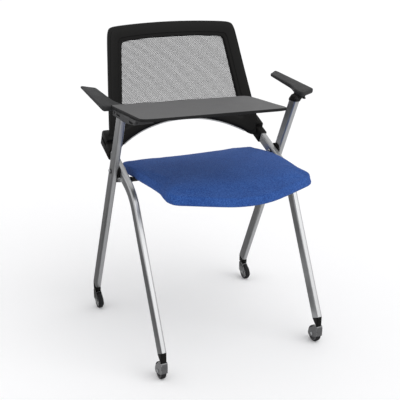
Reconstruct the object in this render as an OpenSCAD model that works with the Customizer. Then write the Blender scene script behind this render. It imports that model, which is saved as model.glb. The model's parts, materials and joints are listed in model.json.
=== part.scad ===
// Nesting chair with flip-up seat, mesh back, arm pads, a writing tablet and four swivel casters.
// X runs across the chair, the sitter looks towards -Y, Z is up from the floor.
// "right" and "left" are the sitter's: right is -X and carries the tablet, left is +X.

/* [Side frames] */
// Width of the flat oval tube, across the chair
tube_w = 16; // [14:0.5:18]
// Depth of the flat oval tube, front to back
tube_d = 30; // [26:0.5:34]
// Wall of the tube
tube_wall = 1.5; // [1.2:0.1:2.5]
// Corner radius of the tube
tube_r = 4.5; // [3:0.5:6]
// Gap between the arm leg and the seat leg beside it
leg_gap = 3.5; // [3:0.1:6]
// Distance front to back between the middles of the tube ends over the casters
base_len = 468.6; // [450:0.1:500]
// How far the middle of that base lies behind the middle of the chair
base_shift = 20.45; // [0:0.05:40]
// Height of the tube ends over the floor
leg_end_z = 71; // [69:0.5:80]
// Lean of the arm leg from the vertical, in degrees, forward as it rises
arm_leg_lean = 25.95; // [24:0.05:28]
// Lean of the seat leg from the vertical, in degrees, backward as it rises
seat_leg_lean = 26.2; // [24:0.05:28]
// Lean of the upper run of the seat leg that carries the back, in degrees
upper_run_lean = 65.3; // [62:0.1:68]
// Height of the corner where the two runs of the seat leg would meet
bend_z = 435.7; // [425:0.1:450]
// Radius of the bend, on the middle of the tube
bend_r = 110; // [80:1:140]
// Length of the upper run from that corner to the end of the tube
upper_run_len = 232; // [215:1:250]
// Height of the top end of the arm leg
arm_leg_top_z = 640.5; // [630:0.5:646]

/* [Seat] */
// Width of the seat cushion
seat_w = 413; // [380:1:420]
// Gap between the cushion and the seat leg on each side
seat_side_gap = 13.5; // [13:0.5:20]
// Depth of the seat cushion
seat_d = 424; // [390:1:450]
// How far the middle of the cushion lies in front of the middle of the base
seat_forward = 76.7; // [70:0.1:84]
// Height of the cushion's upper edge at its highest, over the thighs
seat_edge_z = 490.5; // [480:0.5:510]
// Thickness of the cushion at its edge
cushion_t = 27; // [25:0.5:30]
// How much the seat sinks between its two sides
seat_dish = 3; // [0:0.5:6]
// How much the middle of the cushion stands over its edge
cushion_crown = 5; // [3:0.5:8]
// How far the cushion's edge falls towards the back
seat_fall_back = 17; // [14:0.5:18]
// How far the cushion's edge falls towards the front
seat_fall_front = 18; // [8:0.5:26]
// Thickness of the seat pan
pan_t = 4; // [3:0.5:5]
// How far the pan stays inside the cushion's outline
pan_inset = 17; // [15:0.5:20]
// Diameter of the cross bar on which the seat turns
pivot_d = 12; // [10:0.5:12.5]
// Place of the cross bar along the upper run of the seat legs, from the corner of the bend
pivot_along = 58; // [52:0.5:59]
// Thickness of the padding over the seat pan, at the cushion's edge
pad_over_pan = 12; // [11:0.5:13]

/* [Back] */
// How far the back frame's sides stand outside the middles of the seat legs, near its foot
back_beyond = 4; // [2:0.5:8]
// Width of the back frame at its top corners
back_top_w = 378; // [350:1:400]
// Height of the top of the back frame
back_top_z = 830.5; // [800:0.5:860]
// Height of the lowest point of the back frame's two lower corners
back_low_z = 508.5; // [502:0.5:516]
// Width of the side members of the back frame
back_side_band = 41; // [34:0.5:48]
// Width of the top member of the back frame
back_top_band = 40; // [30:0.5:46]
// Width of the lower member of the back frame
back_low_band = 38; // [30:0.5:44]
// Thickness of the back frame
back_t = 17; // [14:0.5:22]
// Lean of the back from the vertical, in degrees
back_lean = 18.7; // [16:0.1:22]
// How far the back's middle is bowed behind its sides at the top
back_bow = 22; // [10:0.5:34]
// How far the back's middle is bowed behind its sides at the bottom
back_low_bow = 32; // [16:0.5:40]
// Thickness of the mesh panel with its edge strip
mesh_t = 2.4; // [2:0.1:3]
// Wall of the sockets that hold the back on the tubes
socket_wall = 3.5; // [3:0.5:5]
// Length of the sockets
socket_len = 71; // [60:1:85]

/* [Arms] */
// Width of an arm pad over most of its length
pad_w = 41; // [36:0.5:48]
// Width of an arm pad over its bracket, at the front
pad_front_w = 54; // [48:0.5:62]
// Length of an arm pad
pad_len = 219; // [190:1:240]
// Thickness of an arm pad over its bracket
pad_t = 14.5; // [11:0.5:16]
// Thickness of an arm pad at its rear end
pad_thin_t = 4.5; // [4:0.5:8]
// Height of a pad's upper face over its bracket
pad_z = 668.5; // [662:0.5:676]
// Rise of the pad towards the back, in degrees
pad_rise = 5.4; // [3:0.1:7]
// How far the outer side of a pad stands outside the middle of its arm leg
pad_beyond = 49; // [44:0.5:52]

/* [Writing tablet] */
// How far the hinge side of the board stands outside the middle of the arm leg
board_beyond = 31.5; // [31:0.5:33]
// Length of the board across the chair
board_w = 368; // [330:1:390]
// Depth of the board at its hinge side
board_d = 186; // [160:1:200]
// Thickness of the board
board_t = 7; // [6:0.5:9]
// Height of the board's upper face
board_z = 671.5; // [668.5:0.5:680]
// Width of the hinge beam under the board
beam_w = 40; // [34:0.5:48]
// Depth of the hinge beam below the board at its root
beam_h = 16.7; // [15:0.1:18]
// Diameter of the pin on which the board turns up
board_pin_d = 6; // [5:0.5:7]
// Diameter of the pin on which the hinge beam tips down
beam_pin_d = 8; // [6:0.5:9]

/* [Casters] */
// Diameter of a caster wheel with its tyre
wheel_d = 45; // [42:0.5:48]
// Width of the tyre
tyre_w = 13; // [11:0.5:16]
// Thickness of the tyre
tyre_t = 4; // [3:0.5:6]
// Distance from the swivel axis to the wheel axis
trail = 16; // [14:0.5:18]
// Diameter of the swivel stem
stem_d = 8; // [7:0.5:9]
// Diameter of the wheel axle
axle_d = 6; // [5:0.5:7]
// Thickness of the fork's cheeks and of its web over the wheel
fork_t = 1.5; // [1.2:0.1:2]

/* [Fits] */
// Radial clearance of a turning fit
run_gap = 0.05; // [0.02:0.01:0.1]
// Clearance between parts that turn past each other or are dropped in
free_gap = 0.3; // [0.3:0.05:0.6]
// Clearance of a plug inside its tube
plug_gap = 0.15; // [0.1:0.05:0.3]

/* [Hidden] */
$fn = 64;

// Overrun of every cut
over = 1;
// Colours
silver = "silver";
black = "#26272a";
charcoal = "#3c3d40";
rubber = "#1c1c1e";
steel = "#a9adb2";
blue = "#39528a";
grey_board = "#5e5f61";
netting = "#6f7173";

// Sides of the chair: the factor on X
right = -1;
left = 1;

// Places of the legs
seat_leg_span = seat_w + 2 * seat_side_gap + tube_w;
seat_leg_x = seat_leg_span / 2;
arm_leg_x = seat_leg_x + tube_w + leg_gap;
seat_foot_y = base_shift - base_len / 2;
arm_foot_y = base_shift + base_len / 2;
bend_rise = bend_z - leg_end_z;
bend_y = seat_foot_y + bend_rise * tan(seat_leg_lean);
bend_turn = upper_run_lean - seat_leg_lean;
bend_cut = bend_r * tan(bend_turn / 2);
bend_lap = 0.5;
bend_swell = 0.02;
lower_run_len = bend_rise / cos(seat_leg_lean) - bend_cut;
arm_leg_len = (arm_leg_top_z - leg_end_z) / cos(arm_leg_lean);
arm_top_y = arm_foot_y - (arm_leg_top_z - leg_end_z) * tan(arm_leg_lean);

// Place of the cross bar
pivot_y = bend_y + pivot_along * sin(upper_run_lean);
pivot_z = bend_z + pivot_along * cos(upper_run_lean);

// Where the arm leg crosses the upper run of the seat leg
upper_slope = 1 / tan(upper_run_lean);
arm_slope = tan(arm_leg_lean);
cross_z = (bend_z + upper_slope * (arm_foot_y + arm_slope * leg_end_z - bend_y))
    / (1 + upper_slope * arm_slope);
cross_y = arm_foot_y - (cross_z - leg_end_z) * arm_slope;

// Spacer, bolt and brace at the crossing
spacer_r = 21.5;
cross_bolt_d = 8;
cross_head_d = 13;
cross_head_t = 3;
brace_h = 10;
brace_len = 60;
brace_tilt = 16;
brace_drop = (spacer_r + free_gap + brace_h / 2) / cos(brace_tilt);

// Seat
seat_y = base_shift - seat_forward;
crest_ahead = 20;
seat_crest_y = seat_y - crest_ahead;
seat_rear_y = seat_y + seat_d / 2;
seat_front_y = seat_y - seat_d / 2;
pivot_len = seat_leg_span - tube_w;
pan_gap = 0.5;
collar_w = 8;
collar_d = 15;
hinge_w = 20;
hinge_wall = 4;
hinge_step = 0.5;
hinge_inset = 34.5;
hinge_x = seat_w / 2 - hinge_inset;
hinge_pad_len = 60;
rest_inset = 96.5;
rest_x = seat_w / 2 - rest_inset;
rest_w = 32;
rest_t = 4;
rest_reach = 66;
bumper_d = 18;
bumper_t = 4;
bumper_inset = 14;
pan_foot = 1;

// Back
back_foot_z = 536.5;
back_w = seat_leg_span + 2 * back_beyond;
back_foot_behind = 115.5;
back_foot_y = base_shift + back_foot_behind;
back_slope = tan(back_lean);
groove_w = mesh_t + 2 * free_gap;
groove_d = 7;
foot_rise = 14;
foot_len = 42;
mesh_bite = 3;

// Arms
bracket_wall = 1.6;
flange_t = 4;
flange_w = 34;
flange_len = 40;
flange_ahead = 15;
flange_behind = 14;
plug_len = 36;
pad_overhang = 33;
pad_rear_y = arm_top_y + pad_len - pad_overhang;
pad_narrow = 5;
pad_thin_from = 22;
pad_outer_x = arm_leg_x + pad_beyond;
screw_d = 5;
screw_head_d = 9;
screw_head_t = 2.6;

// Writing tablet
board_bottom_z = board_z - board_t;
board_left_x = -arm_leg_x - board_beyond;
board_ahead = 55.7;
board_rear_y = base_shift - board_ahead;
board_pin_inset = 9;
board_pin_x = board_left_x + board_pin_inset;
barrel_r = 5.7;
board_pin_z = board_bottom_z - free_gap - barrel_r;
beam_set = 6;
beam_rear_y = board_rear_y - beam_set;
beam_len = 150;
beam_pin_set = 10;
beam_pin_depth = 9;
beam_pin_y = beam_rear_y - beam_pin_set;
beam_pin_z = board_bottom_z - beam_pin_depth;
tongue_t = 10;
tongue_r = 8;
beam_sweep_r = norm([beam_pin_y - beam_rear_y, beam_h - (board_bottom_z - beam_pin_z)]) + 2 * over;
knuckle_len = 24;
knuckle_inset = 26;
leaf_t = 3;
leaf_reach = 62;

// Casters
wheel_r = wheel_d / 2;
plug_bottom_z = 54;
plug_body_h = 40;
plug_boss_r = 6;
plug_slant = 50;
plug_rest_gap = 0.5;
fork_top_z = plug_bottom_z - plug_rest_gap;
hood_gap = 1;
fork_side_gap = 0.7;
fork_in_w = tyre_w + 2 * fork_side_gap;
fork_out_w = fork_in_w + 2 * fork_t;
stem_up = 13;
stem_hold = 8;
axle_head_d = 9;
axle_head_t = 1.4;
front_lift = 4;
front_stem_set = 5.5;
rear_stem_set = -1.8;
hub_w = fork_in_w - 2 * free_gap;
hub_r = 7;
wheel_web_w = 6;
tyre_crown = 1.5;
front_stem_y = seat_foot_y - front_stem_set;
rear_stem_y = arm_foot_y - rear_stem_set;

// Flat oval section of a tube, size given outside, at a distance inside its wall
module oval(w, d, r) {
    square([w, d - 2 * r], center = true);
    square([w - 2 * r, d], center = true);
    for (sx = [-1, 1]) {
        for (sy = [-1, 1]) {
            translate([sx * (w / 2 - r), sy * (d / 2 - r)]) circle(r);
        }
    }
}

module tube_outside(more) {
    oval(tube_w + 2 * more, tube_d + 2 * more, tube_r + more);
}

module tube_inside(gap) {
    oval(tube_w - 2 * (tube_wall + gap), tube_d - 2 * (tube_wall + gap), tube_r - tube_wall);
}

// Puts a shape on the arm leg: local Z runs up the tube from its lower end
module on_arm_leg(side) {
    translate([side * arm_leg_x, arm_foot_y, leg_end_z]) rotate([arm_leg_lean, 0, 0]) children();
}

// Puts a shape on the seat leg: local Z runs up the tube from its lower end
module on_seat_leg(side) {
    translate([side * seat_leg_x, seat_foot_y, leg_end_z]) rotate([-seat_leg_lean, 0, 0]) children();
}

// Puts a shape on the upper run of the seat leg: local Z runs along it from the corner of the bend
module on_upper_run(side) {
    translate([side * seat_leg_x, bend_y, bend_z]) rotate([-upper_run_lean, 0, 0]) children();
}

// Bolt hole through the two legs at their crossing
module crossing_hole(side, d) {
    translate([side * seat_leg_x, cross_y, cross_z]) rotate([0, side * 90, 0])
        translate([0, 0, -tube_w]) cylinder(d = d, h = 4 * tube_w);
}

module arm_leg(side) {
    color(silver) difference() {
        on_arm_leg(side) linear_extrude(arm_leg_len) difference() {
            tube_outside(0);
            tube_inside(0);
        }
        crossing_hole(side, cross_bolt_d + 2 * plug_gap);
    }
}

// Sweeps two sections along the seat leg: the first along its two runs, the second round its bend.
// The runs reach into the bend, so that no two pieces end on one plane.
module seat_leg_path(side) {
    on_seat_leg(side) {
        translate([0, 0, front_lift]) linear_extrude(lower_run_len - front_lift + bend_lap) children(0);
        translate([0, bend_r, lower_run_len]) rotate([90, 0, -90])
            rotate_extrude(angle = bend_turn) translate([bend_r, 0]) rotate(90) children(1);
        translate([0, bend_r - bend_r * cos(bend_turn), lower_run_len + bend_r * sin(bend_turn)])
            rotate([-bend_turn, 0, 0]) translate([0, 0, -bend_lap])
                linear_extrude(upper_run_len - bend_cut + bend_lap) children(0);
    }
}

module seat_leg(side) {
    color(silver) difference() {
        seat_leg_path(side) {
            tube_outside(0);
            tube_outside(bend_swell);
        }
        seat_leg_path(side) {
            tube_inside(0);
            tube_inside(-bend_swell);
        }
        crossing_hole(side, cross_bolt_d + 2 * plug_gap);
        back_screw_holes(side, screw_d + 2 * plug_gap);
    }
}

// Plastic disc between the two legs at their crossing
module leg_spacer(side) {
    color(black) difference() {
        translate([side * (seat_leg_x + tube_w / 2), cross_y, cross_z]) rotate([0, side * 90, 0])
            cylinder(r = spacer_r, h = leg_gap);
        crossing_hole(side, cross_bolt_d + 2 * plug_gap);
    }
}

// Steel strap welded between the legs below their crossing
module leg_brace(side) {
    color(silver) translate([side * (seat_leg_x + tube_w / 2 + leg_gap / 2), cross_y, cross_z - brace_drop])
        rotate([-brace_tilt, 0, 0]) cube([leg_gap, brace_len, brace_h], center = true);
}

// Bolts through the crossings
module leg_bolts() {
    color(steel) for (side = [right, left]) {
        translate([side * (seat_leg_x - tube_w / 2), cross_y, cross_z]) rotate([0, side * 90, 0]) {
            cylinder(d = cross_bolt_d, h = 2 * tube_w + leg_gap);
            translate([0, 0, -cross_head_t]) cylinder(d = cross_head_d, h = cross_head_t);
            translate([0, 0, 2 * tube_w + leg_gap]) cylinder(d = cross_head_d, h = cross_head_t);
        }
    }
}

// Cross bar between the seat legs: it ties the sides together and the seat turns on it
module pivot_bar() {
    color(black) translate([-pivot_len / 2, pivot_y, pivot_z]) rotate([0, 90, 0])
        cylinder(d = pivot_d, h = pivot_len);
}

// Plastic collar on each end of the cross bar, between the leg and the seat
module pivot_collar(side) {
    color(black) translate([side * (pivot_len / 2 - collar_w / 2), pivot_y, pivot_z]) rotate([0, 90, 0])
        difference() {
            cylinder(d = collar_d, h = collar_w, center = true);
            cylinder(d = pivot_d + 2 * plug_gap, h = 2 * collar_w, center = true);
        }
}

// Height of the cushion's upper edge at a place along the seat
function seat_edge(y) = y > seat_crest_y
    ? seat_edge_z - seat_fall_back * pow((y - seat_crest_y) / (seat_rear_y - seat_crest_y), 2)
    : seat_edge_z - seat_fall_front * pow((y - seat_crest_y) / (seat_front_y - seat_crest_y), 2);
function pan_top(y) = seat_edge(y) - pad_over_pan - pan_gap;

// Point of a closed smooth curve through the points p, between p[i] and the next
function curve_at(p, i, t) = let (
    n = len(p),
    a = p[(i + n - 1) % n],
    b = p[i],
    c = p[(i + 1) % n],
    d = p[(i + 2) % n]
) 0.5 * (2 * b + t * (c - a) + t * t * (2 * a - 5 * b + 4 * c - d) + t * t * t * (3 * b - a - 3 * c + d));
function curve(p, steps) = [for (i = [0 : len(p) - 1]) for (k = [0 : steps - 1]) curve_at(p, i, k / steps)];

// Whole outline from its right half, which runs from the back middle to the front middle
function both_sides(half) = concat(
    [for (i = [len(half) - 1 : -1 : 0]) half[i]],
    [for (i = [1 : len(half) - 2]) [-half[i][0], half[i][1]]]
);
function unit(v) = v / norm(v);
// Outward direction of an outline that runs counter-clockwise
function outward(p, i) = let (
    n = len(p),
    t = unit(p[(i + 1) % n] - p[(i + n - 1) % n])
) [t[1], -t[0]];
function inset(p, d) = [for (i = [0 : len(p) - 1]) p[i] - d * outward(p, i)];

// Closed solid from rings of equal count, lowest first, and a point under and a point over them
module ring_stack(rings, low, high) {
    n = len(rings[0]);
    m = len(rings);
    points = concat([for (r = rings) for (p = r) p], [low, high]);
    sides = [for (i = [0 : m - 2]) for (j = [0 : n - 1]) for (f = [
        [i * n + j, (i + 1) * n + j, (i + 1) * n + (j + 1) % n],
        [i * n + j, (i + 1) * n + (j + 1) % n, i * n + (j + 1) % n]
    ]) f];
    bottom = [for (j = [0 : n - 1]) [n * m, j, (j + 1) % n]];
    top = [for (j = [0 : n - 1]) [n * m + 1, (m - 1) * n + (j + 1) % n, (m - 1) * n + j]];
    polyhedron(points, concat(sides, bottom, top), convexity = 6);
}

// Right half of the seat's outline, in shares of half its width and half its depth
seat_half_shares = [
    [0, 1], [0.5, 1], [0.86, 0.98], [0.965, 0.9], [0.99, 0.72], [1, 0.4], [0.995, 0.1],
    [0.97, -0.2], [0.957, -0.38], [0.972, -0.54], [0.965, -0.64], [0.9, -0.73], [0.74, -0.8],
    [0.48, -0.9], [0.24, -0.975], [0, -1]
];
seat_outline = curve(both_sides([for (s = seat_half_shares) [s[0] * seat_w / 2, s[1] * seat_d / 2]]), 2);

// Place of the rings halfway to the middle, on the underside of the cushion and on the pan
mid_share = 0.5;

// Depth of the dish at a place across the seat
function seat_sink(x) = seat_dish * (1 - pow(min(1, abs(2 * x / seat_w)), 2));

// Ring of the cushion: the outline drawn in by a distance, then towards the middle by a share,
// at a height over the upper edge
function seat_ring(draw_in, share, up, dished) = [
    for (p = inset(seat_outline, draw_in)) let (x = p[0] * share, y = seat_y + p[1] * share)
        [x, y, seat_edge(y) + up - dished * seat_sink(x)]
];
edge_round = cushion_t / 2;
edge_shares = [
    [0.46, -2, 0], [0.17, -1.72, 0], [0.02, -1.3, 0], [0, -0.85, 0.4], [0.06, -0.42, 0.8],
    [0.24, -0.14, 1], [0.5, 0, 1]
];
crown_shares = [[0.93, 0.12], [0.82, 0.36], [0.66, 0.64], [0.42, 0.9]];

module seat_cushion() {
    rim_in = pan_inset - pan_gap - free_gap;
    under = [
        seat_ring(rim_in, mid_share, -pad_over_pan, 0),
        seat_ring(rim_in, 1, -pad_over_pan, 0),
        seat_ring(rim_in, 1, over - cushion_t, 0)
    ];
    edges = [for (e = edge_shares) seat_ring(edge_round * e[0], 1, edge_round * e[1], e[2])];
    crown = [for (c = crown_shares) seat_ring(edge_round * 0.5, c[0], cushion_crown * c[1], 1)];
    color(blue) difference() {
        ring_stack(
            concat(under, edges, crown),
            [0, seat_y, seat_edge(seat_y) - pad_over_pan],
            [0, seat_y, seat_edge(seat_y) + cushion_crown - seat_dish]
        );
        // Notch in the rim on each side for the cross bar
        translate([-pivot_len / 2, pivot_y, pivot_z]) rotate([0, 90, 0])
            cylinder(d = pivot_d + 2 * free_gap, h = pivot_len);
        translate([-pivot_len / 2, pivot_y - pivot_d / 2 - free_gap, pivot_z - cushion_t])
            cube([pivot_len, pivot_d + 2 * free_gap, cushion_t]);
    }
}

// Ring of the seat pan, at a height under the cushion
function pan_ring(draw_in, share, down) = [
    for (p = inset(seat_outline, draw_in)) let (x = p[0] * share, y = seat_y + p[1] * share)
        [x, y, pan_top(y) - down]
];

// Places of the pan's screws on one hinge, front and rear
function hinge_screw_y(k) = pivot_y + k * (hinge_pad_len / 2 - screw_head_d);

module pan_screw_holes(d) {
    for (side = [right, left]) {
        for (k = [-1, 1]) {
            translate([side * hinge_x, hinge_screw_y(k), hinge_top_z - over]) cylinder(d = d, h = pan_t);
        }
    }
}
hinge_top_z = pan_top(pivot_y + hinge_pad_len / 2) - pan_t - pan_foot;

// Foot of the pan over a hinge, seen from the side: flat below, up to the middle of the sloping pan
module pan_foot_side() {
    y_from = pivot_y - hinge_pad_len / 2;
    y_to = pivot_y + hinge_pad_len / 2;
    polygon([
        [y_from, hinge_top_z], [y_to, hinge_top_z],
        [y_to, pan_top(y_to) - pan_t / 2], [y_from, pan_top(y_from) - pan_t / 2]
    ]);
}

module seat_pan() {
    color(black) difference() {
        union() {
            ring_stack(
                [
                    pan_ring(pan_inset + pan_t, mid_share, pan_t),
                    pan_ring(pan_inset + pan_t, 1, pan_t),
                    pan_ring(pan_inset + pan_t * 0.3, 1, pan_t * 0.8),
                    pan_ring(pan_inset, 1, pan_t * 0.4),
                    pan_ring(pan_inset, 1, 0),
                    pan_ring(pan_inset, mid_share, 0)
                ],
                [0, seat_y, pan_top(seat_y) - pan_t],
                [0, seat_y, pan_top(seat_y)]
            );
            for (side = [right, left]) {
                across(side * hinge_x - hinge_w / 2, hinge_w) pan_foot_side();
            }
        }
        pan_screw_holes(screw_d + 2 * plug_gap);
    }
}

// Clamp that turns on the cross bar, with a foot screwed to the pan
module seat_hinge(side) {
    hinge_r = pivot_d / 2 + hinge_wall;
    color(black) difference() {
        union() {
            translate([side * hinge_x - hinge_w / 2, pivot_y, pivot_z]) rotate([0, 90, 0])
                cylinder(r = hinge_r, h = hinge_w);
            translate([side * hinge_x - hinge_w / 2, pivot_y - hinge_r + hinge_step, pivot_z])
                cube([hinge_w, 2 * (hinge_r - hinge_step), hinge_top_z - pivot_z]);
            translate([side * hinge_x - hinge_w / 2, pivot_y - hinge_pad_len / 2, hinge_top_z - flange_t])
                cube([hinge_w, hinge_pad_len, flange_t]);
        }
        translate([side * hinge_x - hinge_w, pivot_y, pivot_z]) rotate([0, 90, 0])
            cylinder(d = pivot_d + 2 * run_gap, h = 2 * hinge_w);
        translate([side * hinge_x - hinge_w, pivot_y - hinge_pad_len, hinge_top_z])
            cube([2 * hinge_w, 2 * hinge_pad_len, hinge_r]);
        for (k = [-1, 1]) {
            translate([side * hinge_x, hinge_screw_y(k), hinge_top_z - 2 * flange_t])
                cylinder(d = screw_d + 2 * plug_gap, h = 3 * flange_t);
        }
    }
}

module seat_screws() {
    color(steel) for (side = [right, left]) {
        for (k = [-1, 1]) {
            translate([side * hinge_x, hinge_screw_y(k), hinge_top_z - flange_t]) {
                cylinder(d = screw_d, h = flange_t + pan_foot);
                translate([0, 0, -screw_head_t]) cylinder(d = screw_head_d, h = screw_head_t);
            }
        }
    }
}

// Heights of the bumper and of the strap under it
rest_tip_y = pivot_y - rest_reach;
bumper_y = rest_tip_y + bumper_inset;
bumper_top_z = pan_top(bumper_y) - pan_t - free_gap;
rest_top_z = bumper_top_z - bumper_t;

// Strap welded on the cross bar, which holds the seat level
module seat_rest(side) {
    color(silver) difference() {
        translate([side * rest_x - rest_w / 2, rest_tip_y, rest_top_z - rest_t])
            cube([rest_w, rest_reach, rest_t]);
        translate([side * rest_x - rest_w, pivot_y, pivot_z]) rotate([0, 90, 0])
            cylinder(d = pivot_d, h = 2 * rest_w);
    }
}

module seat_bumpers() {
    color(rubber) for (side = [right, left]) {
        translate([side * rest_x, bumper_y, rest_top_z]) cylinder(d = bumper_d, h = bumper_t);
    }
}

// Middle surface of the back: how far behind the chair's middle it lies
function back_y(x, z) = let (
    u = 2 * x / back_w,
    up = min(1, max(0, (z - back_low_z) / (back_top_z - back_low_z)))
) back_foot_y + (z - back_foot_z) * back_slope
    + up * back_bow * (1 - pow(u, 2)) + (1 - up) * back_low_bow * (1 - pow(u, 4));

// Right half of the back's outer outline, from the top middle down to the lower middle.
// Across in shares of half the width there, down in shares of the height.
back_h = back_top_z - back_low_z;
arch_share = 0.815;
function back_half_w(fall) = (back_top_w + (back_w - back_top_w) * fall) / 2;
outer_shares = [
    [0, 0], [0.28, 0.002], [0.56, 0.007], [0.82, 0.017], [0.935, 0.04], [0.985, 0.085], [1, 0.16],
    [1, 0.33], [1, 0.5], [1, 0.68], [1, 0.84], [0.985, 0.935], [0.93, 0.993], [0.86, 0.99],
    [0.79, 0.955], [0.68, 0.915], [0.54, 0.875], [0.36, 0.84], [0.18, 0.82], [0, arch_share]
];
function outer_point(s) = [s[0] * back_half_w(s[1]), back_top_z - s[1] * back_h];
// The same number of points round the opening: across in shares of half the opening's width there
opening_top = back_top_band / back_h;
opening_low = arch_share - back_low_band / back_h;
opening_shares = [
    [0, opening_top], [0.28, opening_top + 0.002], [0.56, opening_top + 0.006], [0.8, opening_top + 0.013],
    [0.92, opening_top + 0.024], [0.98, opening_top + 0.05], [1, opening_top + 0.1], [1, 0.34],
    [1, 0.46], [1, 0.57], [1, 0.66], [0.993, opening_low + 0.04], [0.96, opening_low + 0.078],
    [0.9, opening_low + 0.085], [0.82, opening_low + 0.074], [0.7, opening_low + 0.055],
    [0.54, opening_low + 0.03], [0.36, opening_low + 0.011], [0.18, opening_low + 0.002], [0, opening_low]
];
function opening_point(s) = [s[0] * (back_half_w(s[1]) - back_side_band), back_top_z - s[1] * back_h];
outer_half = [for (s = outer_shares) outer_point(s)];
inner_half = [for (s = opening_shares) opening_point(s)];
back_steps = 2;
outer_loop = curve(both_sides(outer_half), back_steps);
inner_loop = curve(both_sides(inner_half), back_steps);

// Section of the band, in shares of half its width and half its thickness, with the mesh groove
band_shares = [
    [-0.9, -0.86], [-0.62, -1], [0.5, -1], [0.84, -0.9], [1, -0.5], [1, 0.5], [0.84, 0.9],
    [0.5, 1], [-0.62, 1], [-0.9, 0.86], [-1, 0.6]
];

function band_section(k) = let (
    o = outer_loop[k],
    i = inner_loop[k],
    mid = (o + i) / 2,
    half = (o - i) / 2,
    deep = 1 - groove_d / norm(half),
    slot = [[-1, groove_w / back_t], [-deep, groove_w / back_t], [-deep, -groove_w / back_t],
        [-1, -groove_w / back_t], [-1, -0.6]],
    shares = concat(band_shares, slot)
) [for (s = shares) let (p = mid + s[0] * half) [p[0], back_y(p[0], p[1]) + s[1] * back_t / 2, p[1]]];

module back_band() {
    n = len(outer_loop);
    rings = [for (k = [0 : n - 1]) band_section(k)];
    m = len(rings[0]);
    points = [for (r = rings) for (p = r) p];
    faces = [for (i = [0 : n - 1]) for (j = [0 : m - 1]) for (f = [
        [i * m + j, ((i + 1) % n) * m + j, ((i + 1) % n) * m + (j + 1) % m],
        [i * m + j, ((i + 1) % n) * m + (j + 1) % m, i * m + (j + 1) % m]
    ]) f];
    polyhedron(points, faces, convexity = 8);
}

// Screws through the underside of a socket and its tube
socket_start = upper_run_len - socket_len + socket_wall;
module back_screw_places(side) {
    for (k = [1, 2]) {
        on_upper_run(side) translate([0, 0, socket_start + k * socket_len / 3])
            rotate([-90, 0, 0]) children();
    }
}

module back_screw_holes(side, d) {
    back_screw_places(side) cylinder(d = d, h = tube_d);
}

module back_frame() {
    color(black) difference() {
        union() {
            back_band();
            for (side = [right, left]) {
                on_upper_run(side) translate([0, 0, socket_start]) linear_extrude(socket_len)
                    oval(tube_w + 2 * socket_wall, tube_d + 2 * socket_wall, tube_r + socket_wall / 2);
                on_upper_run(side) translate([0, -foot_rise, upper_run_len + socket_wall - foot_len])
                    linear_extrude(foot_len)
                        oval(tube_w + 2 * socket_wall, tube_d, tube_r + socket_wall / 2);
            }
        }
        for (side = [right, left]) {
            on_upper_run(side) translate([0, 0, socket_start - over])
                linear_extrude(socket_len - socket_wall + over)
                    oval(tube_w + 2 * plug_gap, tube_d + 2 * plug_gap, tube_r);
            back_screw_holes(side, screw_d + 2 * plug_gap);
        }
    }
}

module back_screws() {
    color(steel) for (side = [right, left]) {
        back_screw_places(side) {
            translate([0, 0, tube_d / 2 - tube_wall]) cylinder(d = screw_d, h = tube_wall + socket_wall);
            translate([0, 0, tube_d / 2 + socket_wall]) cylinder(d = screw_head_d, h = screw_head_t);
        }
    }
}

// Mesh panel: a bowed sheet whose edge lies in the groove of the back frame
mesh_rings_shares = [1, 0.95, 0.86, 0.7, 0.48, 0.24];
module back_mesh() {
    edge = inset([for (p = inner_loop) p], -mesh_bite);
    n = len(edge);
    mid_z = back_top_z - back_h * 0.45;
    ring = function (s, d) [
        for (p = edge) let (x = p[0] * s, z = mid_z + (p[1] - mid_z) * s) [x, back_y(x, z) + d, z]
    ];
    m = len(mesh_rings_shares);
    rear = [for (k = [m - 1 : -1 : 0]) ring(mesh_rings_shares[k], mesh_t / 2)];
    front = [for (k = [0 : m - 1]) ring(mesh_rings_shares[k], -mesh_t / 2)];
    color(netting) ring_stack(
        concat(rear, front),
        [0, back_y(0, mid_z) + mesh_t / 2, mid_z],
        [0, back_y(0, mid_z) - mesh_t / 2, mid_z]
    );
}

// Outline of an arm pad, seen from above with the outer side at zero, in real sizes
pad_corner = 8;
pad_skew = 23;
function pad_outline(front_y, cut) = let (
    w = pad_w,
    v = pad_w - pad_narrow,
    f = pad_front_w,
    r = pad_corner,
    rear = pad_rear_y,
    neck = arm_top_y + flange_len / 2
) [
    [0, front_y + r], [0, rear - 0.8 * r], [-0.3 * r, rear - 0.15 * r], [-0.9 * r, rear],
    [-v + 1.5 * r, rear - 0.72 * pad_skew], [-v + 0.4 * r, rear - pad_skew],
    [-v, rear - pad_skew - 0.9 * r], [-w, neck + 2 * r], [-w - (f - w) * 0.35, neck],
    [-f, neck - 3 * r], [-f, front_y - cut + r], [-f + 0.3 * r, front_y - cut + 0.2 * r],
    [-f + r, front_y - cut], [-0.7 * r, front_y], [-0.15 * r, front_y + 0.4 * r]
];
// Thickness of the pad along its length: full over the bracket, thin at the rear
function pad_depth(y) = let (s = (y - arm_top_y - pad_thin_from) / (pad_rear_y - arm_top_y - pad_thin_from))
    s < 0 ? pad_t : pad_t - (pad_t - pad_thin_t) * (1 - pow(1 - min(1, s), 2.2));

// Pad laid on the sloping plane over its bracket
module pad_place() {
    translate([0, arm_top_y, pad_z]) rotate([pad_rise, 0, 0]) translate([0, -arm_top_y, -pad_t]) children();
}

pad_edge_shares = [[1.2, 0], [0.6, 0.16], [0.15, 0.42], [0, 0.7], [0.05, 0.87], [0.2, 0.97], [0.42, 1]];
pad_round = 6;

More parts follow.
